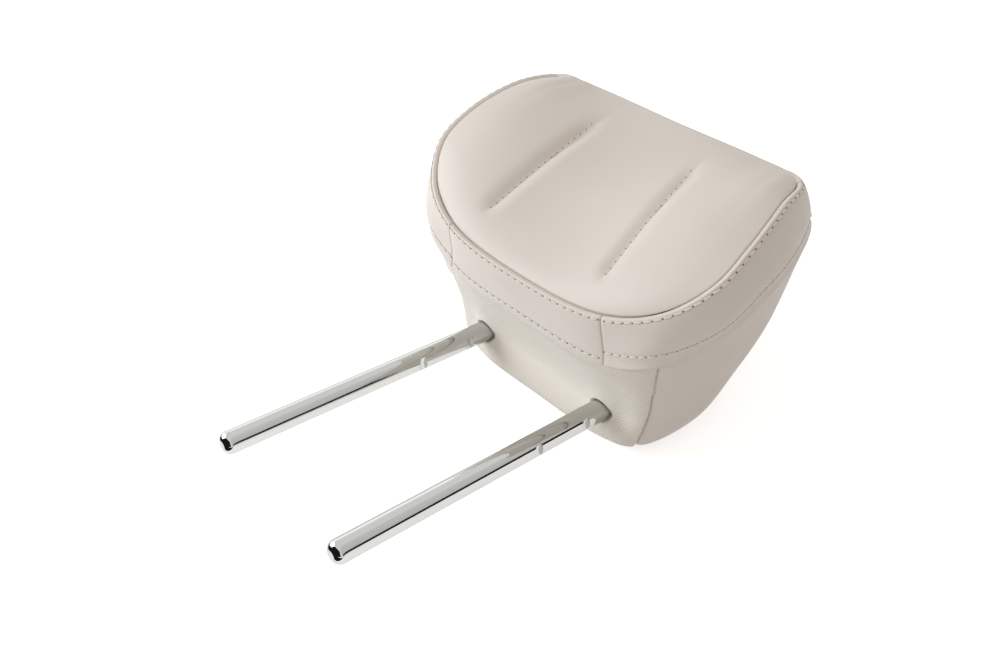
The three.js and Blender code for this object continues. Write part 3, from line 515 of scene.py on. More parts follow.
@dataclass
class Nodes:
    """A material's node tree, with short ways to add and join nodes."""

    name: str
    tree: bpy.types.NodeTree = field(init=False)
    material: bpy.types.Material = field(init=False)
    shader: bpy.types.Node = field(init=False)

    def __post_init__(self) -> None:
        """Makes the material with a bare shader."""
        self.material = bpy.data.materials.new(self.name)
        self.material.use_nodes = True
        self.tree = self.material.node_tree
        self.shader = self.tree.nodes["Principled BSDF"]

    def add(self, kind: str, settings: dict | None = None, **inputs: object) -> bpy.types.Node:
        """Adds a node.

        Args:
            kind: The node's type, without its ShaderNode prefix.
            settings: Properties of the node.
            **inputs: Values or sockets for its inputs, with _ for a space.

        Returns:
            The new node.
        """
        node = self.tree.nodes.new("ShaderNode" + kind)
        for key, value in (settings or {}).items():
            setattr(node, key, value)
        for key, value in inputs.items():
            self.put(node.inputs[key.replace("_", " ")], value)
        return node

    def put(self, socket: bpy.types.NodeSocket, value: object) -> None:
        """Links a socket into another, or sets its value.

        Args:
            socket: The socket that is fed.
            value: A socket or a value.
        """
        if isinstance(value, bpy.types.NodeSocket):
            self.tree.links.new(value, socket)
        else:
            socket.default_value = value

    def dress(self, **inputs: object) -> None:
        """Sets or links the shader's own inputs, with _ for a space."""
        for key, value in inputs.items():
            self.put(self.shader.inputs[key.replace("_", " ")], value)

    def noise(self, place: bpy.types.NodeSocket, scale: float, detail: float = 2.0) -> bpy.types.NodeSocket:
        """A cloudy value from 0 to 1."""
        return self.add("TexNoise", Vector=place, Scale=scale, Detail=detail).outputs[0]

    def where(self, stretch: tuple[float, float, float] = (1, 1, 1)) -> bpy.types.NodeSocket:
        """Object coordinates, stretched along the axes."""
        place = self.add("TexCoord").outputs["Object"]
        return self.add("Mapping", Vector=place, Scale=stretch).outputs["Vector"]

    def maths(self, operation: str, first: object, second: object = 0.0) -> bpy.types.NodeSocket:
        """One sum of two values.

        Args:
            operation: The sum's name in Blender.
            first: A value or socket.
            second: Another.

        Returns:
            The result's socket.
        """
        node = self.add("Math", {"operation": operation})
        self.put(node.inputs[0], first)
        self.put(node.inputs[1], second)
        return node.outputs[0]

    def weighed(self, *pairs: tuple) -> bpy.types.NodeSocket:
        """Values added up by weight.

        Args:
            *pairs: A socket and its weight each.

        Returns:
            The sum's socket.
        """
        total, *others = [self.maths("MULTIPLY", *pair) for pair in pairs]
        for other in others:
            total = self.maths("ADD", total, other)
        return total

    def spread(self, value: object, low: float, high: float) -> bpy.types.NodeSocket:
        """A value from 0 to 1 spread between two numbers."""
        return self.add("MapRange", Value=value, To_Min=low, To_Max=high).outputs["Result"]

    def between(self, share: object, low: tuple, high: object) -> bpy.types.NodeSocket:
        """Mixes two colours.

        Args:
            share: How much of the second colour shows.
            low: The first colour.
            high: The second, as a colour or a socket.

        Returns:
            The mixed colour's socket.
        """
        mix = self.add("Mix", {"data_type": "RGBA"})
        self.put(mix.inputs["Factor"], share)
        self.put(mix.inputs[MIX_FIRST], (*low, 1.0))
        self.put(mix.inputs[MIX_SECOND], (*high, 1.0) if isinstance(high, tuple) else high)
        return mix.outputs[MIX_RESULT]


def linear(red: int, green: int, blue: int) -> tuple[float, float, float]:
    """A screen colour as the light it stands for.

    Args:
        red: The screen's red, up to `SCREEN_WHITE`.
        green: The screen's green.
        blue: The screen's blue.

    Returns:
        Three shares.
    """
    shares = [value / SCREEN_WHITE for value in (red, green, blue)]
    return tuple(share / TOE_SLOPE if share <= TOE
                 else ((share + TOE_OFFSET) / (1 + TOE_OFFSET)) ** SCREEN_GAMMA for share in shares)


@dataclass(frozen=True)
class Leather:
    """Smooth upholstery leather with a fine pebble grain."""

    name: str = "leather"
    light: tuple = linear(219, 212, 204)
    dark: tuple = linear(211, 203, 194)
    grain_size: float = 0.0009
    grain_depth: float = 0.00006
    grain_strength: float = 0.55
    roughness: tuple = (0.44, 0.56)
    blotch_scale: float = 22.0
    crease_scale: float = 600.0
    soft_scale: float = 90.0
    pebble_weight: float = 1.2
    crease_weight: float = 0.5
    soft_weight: float = 0.8
    blotch_tone: float = 0.7
    crease_tone: float = 0.3
    shine: float = 0.42
    sheen: float = 0.06

    def material(self) -> bpy.types.Material:
        """Makes the leather's material.

        Returns:
            The material.
        """
        nodes = Nodes(self.name)
        place = nodes.where()
        blotch = nodes.noise(place, self.blotch_scale, 3.0)
        crease = nodes.noise(place, self.crease_scale, 4.0)
        soft = nodes.noise(place, self.soft_scale)
        pebble = nodes.add("TexVoronoi", {"feature": "DISTANCE_TO_EDGE"}, Vector=place,
                           Scale=1 / self.grain_size, Randomness=1.0).outputs["Distance"]
        height = nodes.maths("ADD", nodes.spread(pebble, 0.0, self.pebble_weight),
                             nodes.weighed((crease, self.crease_weight), (soft, self.soft_weight)))
        bump = nodes.add("Bump", Height=height, Strength=self.grain_strength, Distance=self.grain_depth)
        tone = nodes.weighed((blotch, self.blotch_tone), (crease, self.crease_tone))
        nodes.dress(Base_Color=nodes.between(tone, self.dark, self.light),
                    Roughness=nodes.spread(soft, *self.roughness), Normal=bump.outputs[0])
        nodes.dress(Specular_IOR_Level=self.shine, Sheen_Weight=self.sheen)
        return nodes.material


@dataclass(frozen=True)
class StretchFabric:
    """Ribbed stretch fabric: the ribs are in the mesh, the knit and the painted shade of the rib valleys in
    the material.
    """

    name: str = "stretch_fabric"
    light: tuple = linear(244, 240, 232)
    dark: tuple = linear(228, 222, 212)
    # groove: the darker colour of the rib valleys, painted shade
    groove: tuple = linear(216, 209, 198)
    loops_per_metre: float = 0.314 / 0.0007
    loop_wobble: float = 0.6
    fuzz_scale: float = 1500.0
    loop_weight: float = 0.6
    fuzz_weight: float = 0.6
    knit_depth: float = 0.00012
    knit_strength: float = 0.5
    roughness: tuple = (0.78, 0.95)
    sheen: float = 0.15
    sheen_roughness: float = 0.5
    shine: float = 0.2

    def material(self) -> bpy.types.Material:
        """Makes the fabric's material.

        Returns:
            The material.
        """
        nodes = Nodes(self.name)
        place = nodes.add("Attribute", {"attribute_name": CLOTH_PLACE}).outputs["Vector"]
        loops = nodes.add("TexWave", {"bands_direction": "Y"}, Vector=place, Scale=self.loops_per_metre,
                          Distortion=self.loop_wobble, Detail=1.0).outputs["Fac"]
        fuzz = nodes.noise(place, self.fuzz_scale, 3.0)
        height = nodes.weighed((loops, self.loop_weight), (fuzz, self.fuzz_weight))
        bump = nodes.add("Bump", Height=height, Strength=self.knit_strength, Distance=self.knit_depth)
        # The rib height share lays the groove colour into the valleys: painted shade where the ribs shade
        # each other.
        rib = nodes.add("SeparateXYZ", Vector=place).outputs["Z"]
        yarn = nodes.between(height, self.dark, self.light)
        nodes.dress(Base_Color=nodes.between(rib, self.groove, yarn), Normal=bump.outputs[0],
                    Roughness=nodes.spread(fuzz, *self.roughness))
        nodes.dress(Sheen_Weight=self.sheen, Sheen_Roughness=self.sheen_roughness,
                    Specular_IOR_Level=self.shine)
        return nodes.material


@dataclass(frozen=True)
class Thread:
    """Twisted sewing thread."""

    name: str = "thread"
    light: tuple = linear(236, 229, 221)
    dark: tuple = linear(216, 208, 199)
    twist: float = 900.0
    wobble: float = 0.4
    strand_depth: float = 0.00008
    strand_strength: float = 0.4
    roughness: tuple = (0.5, 0.7)

    def material(self) -> bpy.types.Material:
        """Makes the thread's material.

        Returns:
            The material.
        """
        nodes = Nodes(self.name)
        strands = nodes.add("TexWave", {"bands_direction": "DIAGONAL"}, Vector=nodes.where(),
                            Scale=self.twist, Distortion=self.wobble).outputs["Fac"]
        bump = nodes.add("Bump", Height=strands, Strength=self.strand_strength, Distance=self.strand_depth)
        nodes.dress(Base_Color=nodes.between(strands, self.dark, self.light), Normal=bump.outputs[0],
                    Roughness=nodes.spread(strands, *self.roughness))
        return nodes.material


@dataclass(frozen=True)
class Metal:
    """Bare or plated metal, with faint wear in its gloss."""

    name: str
    colour: tuple
    roughness: tuple
    wear: float = 60.0
    brushed: tuple = (1.0, 1.0, 1.0)
    edge: tuple = (1.0, 1.0, 1.0, 1.0)
    dulling: float = 0.95

    def material(self) -> bpy.types.Material:
        """Makes the metal's material.

        Returns:
            The material.
        """
        nodes = Nodes(self.name)
        smear = nodes.noise(nodes.where(self.brushed), self.wear, 4.0)
        dull = tuple(self.dulling * share for share in self.colour)
        nodes.dress(Base_Color=nodes.between(smear, dull, self.colour),
                    Roughness=nodes.spread(smear, *self.roughness))
        nodes.dress(Metallic=1.0, Specular_Tint=self.edge)
        return nodes.material


@dataclass(frozen=True)
class Moulded:
    """Moulded plastic or foam, with a fine surface grain."""

    name: str
    light: tuple
    dark: tuple
    grain: float
    depth: float
    roughness: tuple
    cell_ratio: float = 0.7
    cell_weight: float = 0.5
    grain_strength: float = 0.4

    def material(self) -> bpy.types.Material:
        """Makes the moulding's material.

        Returns:
            The material.
        """
        nodes = Nodes(self.name)
        place = nodes.where()
        grain = nodes.noise(place, self.grain, 4.0)
        cells = nodes.add("TexVoronoi", Vector=place, Scale=self.grain * self.cell_ratio).outputs["Distance"]
        height = nodes.maths("ADD", grain, nodes.maths("MULTIPLY", cells, self.cell_weight))
        bump = nodes.add("Bump", Height=height, Strength=self.grain_strength, Distance=self.depth)
        nodes.dress(Base_Color=nodes.between(grain, self.dark, self.light), Normal=bump.outputs[0],
                    Roughness=nodes.spread(grain, *self.roughness))
        return nodes.material


@dataclass(frozen=True)
class NeedleHoleShade:
    """Painted shade: the dark colour of a small disc that stands in for the shaded inside of a needle hole.
    """

    name: str = "needle_hole_shade"
    # These dark colours paint the shade inside the hole.
    light: tuple = linear(128, 116, 105)
    dark: tuple = linear(94, 84, 75)
    grit_scale: float = 2500.0
    roughness: tuple = (0.8, 1.0)
    shine: float = 0.1

    def material(self) -> bpy.types.Material:
        """Makes the hole's material.

        Returns:
            The material.
        """
        nodes = Nodes(self.name)
        grit = nodes.noise(nodes.where(), self.grit_scale)
        nodes.dress(Base_Color=nodes.between(grit, self.dark, self.light),
                    Roughness=nodes.spread(grit, *self.roughness))
        nodes.dress(Specular_IOR_Level=self.shine)
        return nodes.material


CHROME = Metal("chrome", colour=(0.59, 0.59, 0.575), roughness=(0.03, 0.06), edge=(0.72, 0.72, 0.71, 1.0))
SPRING_STEEL = Metal("spring_steel", colour=(0.42, 0.43, 0.44), roughness=(0.28, 0.42), wear=900.0,
                     brushed=(1.0, 0.1, 1.0))
FOAM = Moulded("foam", light=linear(236, 222, 180), dark=linear(214, 196, 150), grain=700.0,
               depth=0.0004, roughness=(0.9, 1.0))
CORE_PLASTIC = Moulded("core_plastic", light=linear(52, 53, 55), dark=linear(38, 39, 41), grain=1400.0,
                       depth=0.0001, roughness=(0.5, 0.65))
LINER_PLASTIC = Moulded("liner_plastic", light=linear(236, 234, 228), dark=linear(222, 219, 211),
                        grain=1100.0, depth=0.00006, roughness=(0.4, 0.55))


@dataclass
class Finishes:
    """Every finish on the headrest, made once."""

    leather: bpy.types.Material = field(default_factory=Leather().material)
    fabric: bpy.types.Material = field(default_factory=StretchFabric().material)
    thread: bpy.types.Material = field(default_factory=Thread().material)
    needle_hole_shade: bpy.types.Material = field(default_factory=NeedleHoleShade().material)
    chrome: bpy.types.Material = field(default_factory=CHROME.material)
    steel: bpy.types.Material = field(default_factory=SPRING_STEEL.material)
    foam: bpy.types.Material = field(default_factory=FOAM.material)
    core_plastic: bpy.types.Material = field(default_factory=CORE_PLASTIC.material)
    liner_plastic: bpy.types.Material = field(default_factory=LINER_PLASTIC.material)


@dataclass
class Surface:
    """A grid of points with the way out of the surface at each."""

    points: np.ndarray
    outward: int = 1
    normals: np.ndarray = field(init=False)

    def __post_init__(self) -> None:
        """Works out the normals."""
        self.refresh()

    def refresh(self) -> None:
        """Works the normals out again after the points moved."""
        along = np.gradient(self.points, axis=0)
        across = np.gradient(self.points, axis=1)
        normals = np.cross(along, across) * self.outward
        length = np.maximum(np.linalg.norm(normals, axis=-1, keepdims=True), TINY)
        self.normals = normals / length

    def raised(self, height: np.ndarray) -> None:
        """Moves the points out along their normals by a height in millimetres."""
        self.points = self.points + self.normals * height[..., None]

    def lengths(self, axis: int) -> np.ndarray:
        """Distance along one axis of the grid from its start.

        Args:
            axis: The axis.

        Returns:
            The distance at each point.
        """
        steps = np.linalg.norm(np.diff(self.points, axis=axis), axis=-1)
        total = np.cumsum(steps, axis=axis)
        return np.concatenate([np.zeros_like(np.take(total, [0], axis=axis)), total], axis=axis)

    def from_ends(self, axis: int) -> tuple[np.ndarray, np.ndarray]:
        """Distances from the two ends of one axis."""
        start = self.lengths(axis)
        return start, np.take(start, [-1], axis=axis) - start


@dataclass
class Panel:
    """A sewn panel whose edges roll down into the seams."""

    name: str
    surface: Surface
    slot: str
    roll: float = 0.95
    tuck: float = 0.35
    lap: float = 0.75
    pillow: float = 0.45
    pillow_reach: float = 2.4
    rib: np.ndarray | None = None

    def edge_distance(self) -> np.ndarray:
        """How far each point is from the nearest edge."""
        return np.minimum.reduce([*self.surface.from_ends(0), *self.surface.from_ends(1)])

    def build(self) -> bpy.types.Object:
        """Makes the panel with its rolled edges and the hem behind them.

        Returns:
            The panel's object, in the frame.
        """
        away = self.edge_distance()
        short = np.clip(self.roll - away, 0, self.roll)
        drop = self.roll - np.sqrt(np.maximum(self.roll**2 - short**2, 0))
        drop += self.pillow * np.exp(-away / self.pillow_reach)
        top = self.surface.points - self.surface.normals * drop[..., None]
        rows, columns = top.shape[:2]
        index = np.arange(rows * columns).reshape(rows, columns)
        a, b = index[:-1, :-1], index[1:, :-1]
        c, d = index[1:, 1:], index[:-1, 1:]
        order = (a, b, c, d) if self.surface.outward > 0 else (a, d, c, b)
        faces = np.stack([o.ravel() for o in order], axis=1)
        ring = np.concatenate([index[:, 0], index[-1, 1:], index[-2::-1, -1], index[0, -2:0:-1]])
        points, faces = self.hemmed(top.reshape(-1, 3), faces, ring)
        piece = make_mesh(self.name, LYING.place(points), faces)
        self.mark(piece, ring)
        return piece

    def hemmed(self, points: np.ndarray, faces: np.ndarray, ring: np.ndarray) -> tuple:
        """Adds the hem that turns in behind the edges.

        Args:
            points: The panel's points.
            faces: Its faces.
            ring: The numbers of the points round its edge.

        Returns:
            The points and faces with the hem.
        """
        hem = points[ring] - self.surface.normals.reshape(-1, 3)[ring] * self.tuck + self.past() * self.lap
        new = np.arange(len(ring)) + len(points)
        strip = np.stack([np.roll(ring, -1), ring, new, np.roll(new, -1)], axis=1)
        if self.surface.outward < 0:
            strip = strip[:, ::-1]
        return np.concatenate([points, hem]), np.concatenate([faces, strip])

    def past(self) -> np.ndarray:
        """The way out past the edge.

        Returns:
            A direction for each point round the edge.
        """
        points = self.surface.points
        steps = np.concatenate([
            points[:, 0] - points[:, 1], points[-1, 1:] - points[-2, 1:],
            points[-2::-1, -1] - points[-2::-1, -2], points[0, -2:0:-1] - points[1, -2:0:-1],
        ])
        return steps / np.maximum(np.linalg.norm(steps, axis=1, keepdims=True), TINY)

    def mark(self, piece: bpy.types.Object, ring: np.ndarray) -> None:
        """Keeps each point's place on the cut cloth, with its height on a rib, which the fabric's material
        turns into painted shade in the rib valleys.

        Args:
            piece: The panel's object.
            ring: The numbers of the points that the hem starts from.
        """
        across, down = self.surface.lengths(0) * MILLIMETRE, self.surface.lengths(1) * MILLIMETRE
        rib = np.zeros_like(across) if self.rib is None else self.rib
        place = np.stack([across, down, rib], axis=-1).reshape(-1, 3)
        place = np.concatenate([place, place[ring]])
        layer = piece.data.attributes.new(CLOTH_PLACE, "FLOAT_VECTOR", "POINT")
        layer.data.foreach_set("vector", place.ravel())


def in_scene(name: str, data: bpy.types.ID) -> bpy.types.Object:
    """Puts a new object into the scene.

    Args:
        name: The object's name.
        data: Its mesh, lamp or camera.

    Returns:
        The object.
    """
    item = bpy.data.objects.new(name, data)
    bpy.context.scene.collection.objects.link(item)
    return item


def make_mesh(name: str, points: np.ndarray, faces: np.ndarray | list,
              angle: float = 50.0) -> bpy.types.Object:
    """Makes an object from points in the frame and faces.

    Args:
        name: The object's name.
        points: Points in metres.
        faces: Point numbers of each face.
        angle: Edges sharper than this many degrees stay sharp.

    Returns:
        The object, in the scene.
    """
    mesh = bpy.data.meshes.new(name)
    mesh.from_pydata([tuple(p) for p in points], [], [tuple(int(i) for i in f) for f in faces])
    mesh.validate()
    mesh.shade_smooth()
    mesh.set_sharp_from_angle(angle=math.radians(angle))
    piece = in_scene(name, mesh)
    return piece


@dataclass
class StitchRow:
    """One row of stitches along a line on the leather."""

    pitch: float = 5.8
    thickness: float = 1.05
    lift: float = 0.27
    hole: float = 0.5
    slant: float = 0.2
    rim: float = 0.09
    dish: float = 0.03
    around: int = 6
    along: int = 7
    gap: float = 0.8
    aim: float = 0.5
    end_share: float = 0.02
    dive: float = 0.35
    flatness: float = 0.8
    hole_sides: int = 8
    sharp_angle: float = 80.0
    points: list = field(default_factory=list)
    faces: list = field(default_factory=list)
    hole_points: list = field(default_factory=list)
    hole_faces: list = field(default_factory=list)

    def sew(self, line: np.ndarray, normals: np.ndarray) -> None:
        """Adds the stitches and needle holes of one line.

        Args:
            line: Points along the line.
            normals: The way out of the leather at each.
        """
        steps = np.linalg.norm(np.diff(line, axis=0), axis=1)
        run = np.concatenate([[0.0], np.cumsum(steps)])
        count = int(run[-1] // self.pitch)
        spare = (run[-1] - count * self.pitch) / 2

        def at(distance: np.ndarray, values: np.ndarray) -> np.ndarray:
            """The line's values at distances along it."""
            return np.stack([np.interp(distance, run, values[:, k]) for k in range(3)], axis=1)

        for k in range(count):
            start = spare + k * self.pitch + self.hole * self.gap
            reach = self.pitch - 2 * self.hole * self.gap
            places = start + reach * np.linspace(0, 1, self.along)
            self.add_stitch(at(places, line), at(places, normals))
        holes = spare + self.pitch * np.arange(count + 1)
        ways = at(holes + self.aim, line) - at(holes - self.aim, line)
        for spot, out, way in zip(at(holes, line), at(holes, normals), ways):
            self.add_hole(spot, out, way)

    def add_stitch(self, line: np.ndarray, normals: np.ndarray) -> None:
        """Adds one arched stitch.

        Args:
            line: Its middle line on the leather.
            normals: The way out of the leather along it.
        """
        share = np.linspace(-1, 1, self.along)
        width = self.thickness / 2 * np.sqrt(np.maximum(1 - share**6, self.end_share))
        arch = self.lift * (1 - share**4) - self.dive * np.abs(share) ** 8
        side = np.cross(np.gradient(line, axis=0), normals)
        side /= np.linalg.norm(side, axis=1, keepdims=True)
        centre = line + normals * arch[:, None] + side * (self.slant * share)[:, None]
        first = len(self.points)
        for k in range(self.along):
            for j in range(self.around):
                turn = 2 * math.pi * j / self.around
                spoke = side[k] * math.cos(turn) + normals[k] * math.sin(turn) * self.flatness
                self.points.append(centre[k] + spoke * width[k])
        for k in range(self.along - 1):
            for j in range(self.around):
                a = first + k * self.around + j
                b = first + k * self.around + (j + 1) % self.around
                self.faces.append((a, b, b + self.around, a + self.around))
        last = first + (self.along - 1) * self.around
        self.faces.append(tuple(first + j for j in reversed(range(self.around))))
        self.faces.append(tuple(last + j for j in range(self.around)))

    def add_hole(self, spot: np.ndarray, out: np.ndarray, along: np.ndarray) -> None:
        """Adds the rim of one needle hole, a small disc whose dark colour is painted shade for the hole.

        Args:
            spot: Its middle on the leather.
            out: The way out of the leather.
            along: The row's direction.
        """
        out = out / np.linalg.norm(out)
        side = np.cross(along, out)
        side /= np.linalg.norm(side)
        up = np.cross(out, side)
        first = len(self.hole_points)
        sides = self.hole_sides
        for j in range(sides):
            turn = 2 * math.pi * j / sides
            rim = side * math.cos(turn) + up * math.sin(turn)
            self.hole_points.append(spot + rim * self.hole + out * self.rim)
        self.hole_points.append(spot + out * self.dish)
        self.hole_points.append(spot - out * self.hole)
        for j in range(sides):
            following = first + (j + 1) % sides
            self.hole_faces.append((first + j, following, first + sides))
            self.hole_faces.append((following, first + j, first + sides + 1))

    def build(self, name: str, finishes: Finishes, holder: bpy.types.Object) -> None:
        """Makes the row's thread and needle holes, on the piece that they are sewn through.

        Args:
            name: The row's name.
            finishes: The headrest's finishes.
            holder: The leather piece.
        """
        # The needle holes are dark discs whose colour is painted shade.
        parts = (
            (name + "_thread", self.points, self.faces, finishes.thread),
            (name + "_needle_holes", self.hole_points, self.hole_faces, finishes.needle_hole_shade),
        )
        for title, points, faces, finish in parts:
            piece = make_mesh(title, LYING.place(np.array(points)), faces, self.sharp_angle)
            piece.data.materials.append(finish)
            piece.parent = holder
            LOG.info("%s: %d faces", title, len(faces))


@dataclass
class FaceLeather:
    """The face panel, which rolls over the top and down to the back seam."""

    step: float = 1.5
    channel_step: float = 0.15
    roll_rows: float = 14.0
    roll_rounds: int = 220
    head_drop: float = 3.6
    head_start: tuple[float, float] = (70.0, 138.0)
    head_end: tuple[float, float] = (8.0, 45.0)
    pucker: float = 0.22
    pucker_place: float = 2.4
    pucker_width: float = 2.2
    stitch_pitch: float = 5.0
    channel_span: float = 2.0
    inner_columns: int = 24
    wing_width: float = 58.0
    face_length: float = 140.0
    top_length: float = 175.0
    roll_taper: float = 2.5
    drop_taper: float = 3.5
    roll: float = 0.6
    pillow: float = 0.3
    line_reach: tuple[float, float] = (0.02, 0.98)
    line_points: int = 200

    def columns(self) -> np.ndarray:
        """The columns across the face, close together at the channels.

        Returns:
            Signed columns.
        """
        half, middle = float(CUSHION.half_columns), CUSHION.channel_column
        near, far = middle - self.channel_span, middle + self.channel_span
        inner = np.linspace(0, near, self.inner_columns)[:-1]
        beside = np.arange(near, far, self.channel_step)
        beside = beside - beside[np.argmin(np.abs(beside - middle))] + middle
        outside = far + (half - far) * spaced(self.wing_width, self.step)[len(EDGE_ROWS) - 1:]
        right = np.concatenate([inner, beside[beside < far], outside])
        return np.concatenate([-right[:0:-1], right])

    def grid(self) -> tuple[Surface, np.ndarray]:
        """The face and the top as one grid of points, columns by rows.

        Returns:
            The surface, and each point's distance from a channel.
        """
        columns = self.columns()
        rows = spaced(self.face_length, self.step)[:-len(EDGE_ROWS)]
        face = CUSHION.face(columns, rows)
        head_knots = CUSHION.column_knots()[1]
        knots = np.interp(np.abs(columns), np.arange(len(head_knots)), head_knots)
        knots = np.where(columns < 0, 2 * LAST_KNOT - knots, knots)
        over = spaced(self.top_length, self.step)[len(EDGE_ROWS):] * Place.BACK_SEAM.value
        top = CUSHION.sides(knots, over)
        away = np.concatenate([CUSHION.from_channel(face, rows), np.full(top.shape[:2], np.inf)], axis=1)
        return Surface(self.eased(np.concatenate([face, top], axis=1), columns, len(rows))), away

    def eased(self, points: np.ndarray, columns: np.ndarray, head: int) -> np.ndarray:
        """Eases the roll at the head, where the face turns over the top.

        Args:
            points: The grid.
            columns: Its columns.
            head: The row of the turn.

        Returns:
            The smoother grid.
        """
        rows = np.arange(points.shape[1])
        weight = np.exp(-((rows - head) / self.roll_rows) ** 2)[None, :, None]
        inward = CUSHION.half_columns - np.abs(columns)
        weight = weight * smoothstep(inward, 0.0, self.roll_taper)[:, None, None]
        for _ in range(self.roll_rounds):
            middle = points.copy()
            middle[:, 1:-1] = (points[:, :-2] + points[:, 2:]) / 2
            points = points + (middle - points) * weight / 2
        return self.lowered(points, columns, head)

    def lowered(self, points: np.ndarray, columns: np.ndarray, head: int) -> np.ndarray:
        """Lowers the face towards its head, where the foam is thinner.

        Args:
            points: The grid.
            columns: Its columns.
            head: The row of the turn.

        Returns:
            The lower grid.
        """
        towards = smoothstep(points[..., 1], *self.head_start)
        past = np.clip(np.arange(points.shape[1]) - head, 0, None) * self.step
        inside = smoothstep(CUSHION.half_columns - np.abs(columns), 0.0, self.drop_taper)
        share = towards * (1 - smoothstep(past, *self.head_end))[None, :] * inside[:, None]
        return points - share[..., None] * np.array([0.0, 0.0, self.head_drop])

    def build(self, finishes: Finishes) -> bpy.types.Object:
        """Makes the leather and the stitches of its channels.

        Args:
            finishes: The headrest's finishes.

        Returns:
            The face's object.
        """
        surface, away = self.grid()
        self.gather(surface, away)
        piece = Panel("face_leather", surface, "leather", roll=self.roll, pillow=self.pillow).build()
        piece.data.materials.append(finishes.leather)
        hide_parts("face_cover")
        row = StitchRow(pitch=self.stitch_pitch, thickness=0.55, lift=0.06, hole=0.45, slant=0.0)
        for side in Side:
            row.sew(*self.channel_line(side))
        row.build("channel", finishes, piece)
        return piece

    def gather(self, surface: Surface, away: np.ndarray) -> None:
        """Draws the leather into small puckers along the channels.

        Args:
            surface: The face, which is changed.
            away: Each point's distance from a channel.
        """
        height = surface.points[..., 1]
        depth = CUSHION.channel(np.zeros_like(height), height) / CUSHION.channel_depth
        near = np.exp(-((away - self.pucker_place) / self.pucker_width) ** 2)
        wave = 0.5 + 0.5 * np.cos(height * 2 * math.pi / self.stitch_pitch)
        surface.raised(-self.pucker * near * depth * wave)
        surface.refresh()

    def channel_line(self, side: Side) -> tuple[np.ndarray, np.ndarray]:
        """The stitched line of one channel.

        Args:
            side: Which channel.

        Returns:
            Its points and the way out of the leather at each.
        """
        rows = np.linspace(*self.line_reach, self.line_points)
        column = CUSHION.channel_column * side.value
        line = CUSHION.face(np.array([column]), rows)[0]
        shown = (line[:, 1] > CUSHION.channel_foot[1]) & (line[:, 1] < CUSHION.channel_head[1])
        along = np.gradient(line, axis=0)
        normals = np.stack([np.zeros(len(line)), -along[:, 2], along[:, 1]], axis=1)
        normals /= np.linalg.norm(normals, axis=1, keepdims=True)
        return line[shown], normals[shown]


@dataclass
class SidePanel:
    """A panel cut from the cushion's side, between two lines and two places round it."""

    name: str
    node: str
    knots: tuple[float, float]
    places: tuple[float, float]
    length: float
    width: float
    step: float = 1.5
    stitch_rows: tuple[float, ...] = ()
    groove: float = 0.25
    groove_width: float = 1.1
    gather: float = 0.25
    row_ratio: float = 0.6
    pitch: float = 5.8
    roll: float = 0.75
    pillow: float = 0.45
    ledge: float = 0.0
    ledge_reach: float = 5.0

    def grid(self) -> Surface:
        """Lays the panel out.

        Returns:
            Its grid of points.
        """
        round_shares = spaced(self.length, self.step)
        down_shares = spaced(self.width, self.step * self.row_ratio)
        knots = self.knots[0] + (self.knots[1] - self.knots[0]) * round_shares
        places = self.places[0] + (self.places[1] - self.places[0]) * down_shares
        return Surface(CUSHION.sides(knots, places), -1)

    def build(self, finishes: Finishes) -> bpy.types.Object:
        """Makes the panel and its topstitches.

        Args:
            finishes: The headrest's finishes.

        Returns:
            The panel's object.
        """
        surface = self.grid()
        start, end = surface.from_ends(1)
        wave = 1 - self.gather + self.gather * np.cos(surface.lengths(0) * 2 * math.pi / self.pitch)
        for inset in self.stitch_rows:
            away = (start if inset > 0 else end) - abs(inset)
            surface.raised(-self.groove * np.exp(-(away / self.groove_width) ** 2) * wave)
        surface.raised(self.ledge * np.exp(-((end / self.ledge_reach) ** 2)))
        surface.refresh()
        piece = Panel(self.name, surface, "leather", roll=self.roll, pillow=self.pillow).build()
        piece.data.materials.append(finishes.leather)
        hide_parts(self.node)
        if self.stitch_rows:
            self.sew(surface, finishes, piece)
        return piece

    def sew(self, surface: Surface, finishes: Finishes, holder: bpy.types.Object) -> None:
        """Sews the panel's topstitches.

        Args:
            surface: The panel's grid.
            finishes: The headrest's finishes.
            holder: The panel's object.
        """
        row = StitchRow(pitch=self.pitch)
        start, end = surface.from_ends(1)
        for inset in self.stitch_rows:
            distance = start if inset > 0 else end
            line = self.at_inset(surface.points, distance, abs(inset))
            row.sew(line, self.at_inset(surface.normals, distance, abs(inset)))
        row.build(self.name, finishes, holder)

    def at_inset(self, values: np.ndarray, distance: np.ndarray, inset: float) -> np.ndarray:
        """Picks a grid's values along a line at one distance from an edge.

        Args:
            values: The grid's values.
            distance: Each point's distance from the edge.
            inset: The line's distance from it.

        Returns:
            One value for each column of the grid.
        """
        picked = []
        for value, away in zip(values, distance):
            order = np.argsort(away)
            picked.append([np.interp(inset, away[order], value[order][:, axis]) for axis in range(3)])
        return np.array(picked)


@dataclass
class BackLeather:
    """The leather over the back."""

    step: float = 2.0
    width: float = 150.0
    height: float = 135.0

    def build(self, finishes: Finishes) -> bpy.types.Object:
        """Makes the back panel.

        Args:
            finishes: The headrest's finishes.

        Returns:
            The back's object.
        """
        half = CUSHION.half_columns
        columns = (spaced(self.width, self.step) * 2 - 1) * half
        rows = spaced(self.height, self.step)
        surface = Surface(CUSHION.back(columns, rows), -1)
        piece = Panel("back_leather", surface, "leather").build()
        piece.data.materials.append(finishes.leather)
        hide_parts("back_cover")
        return piece


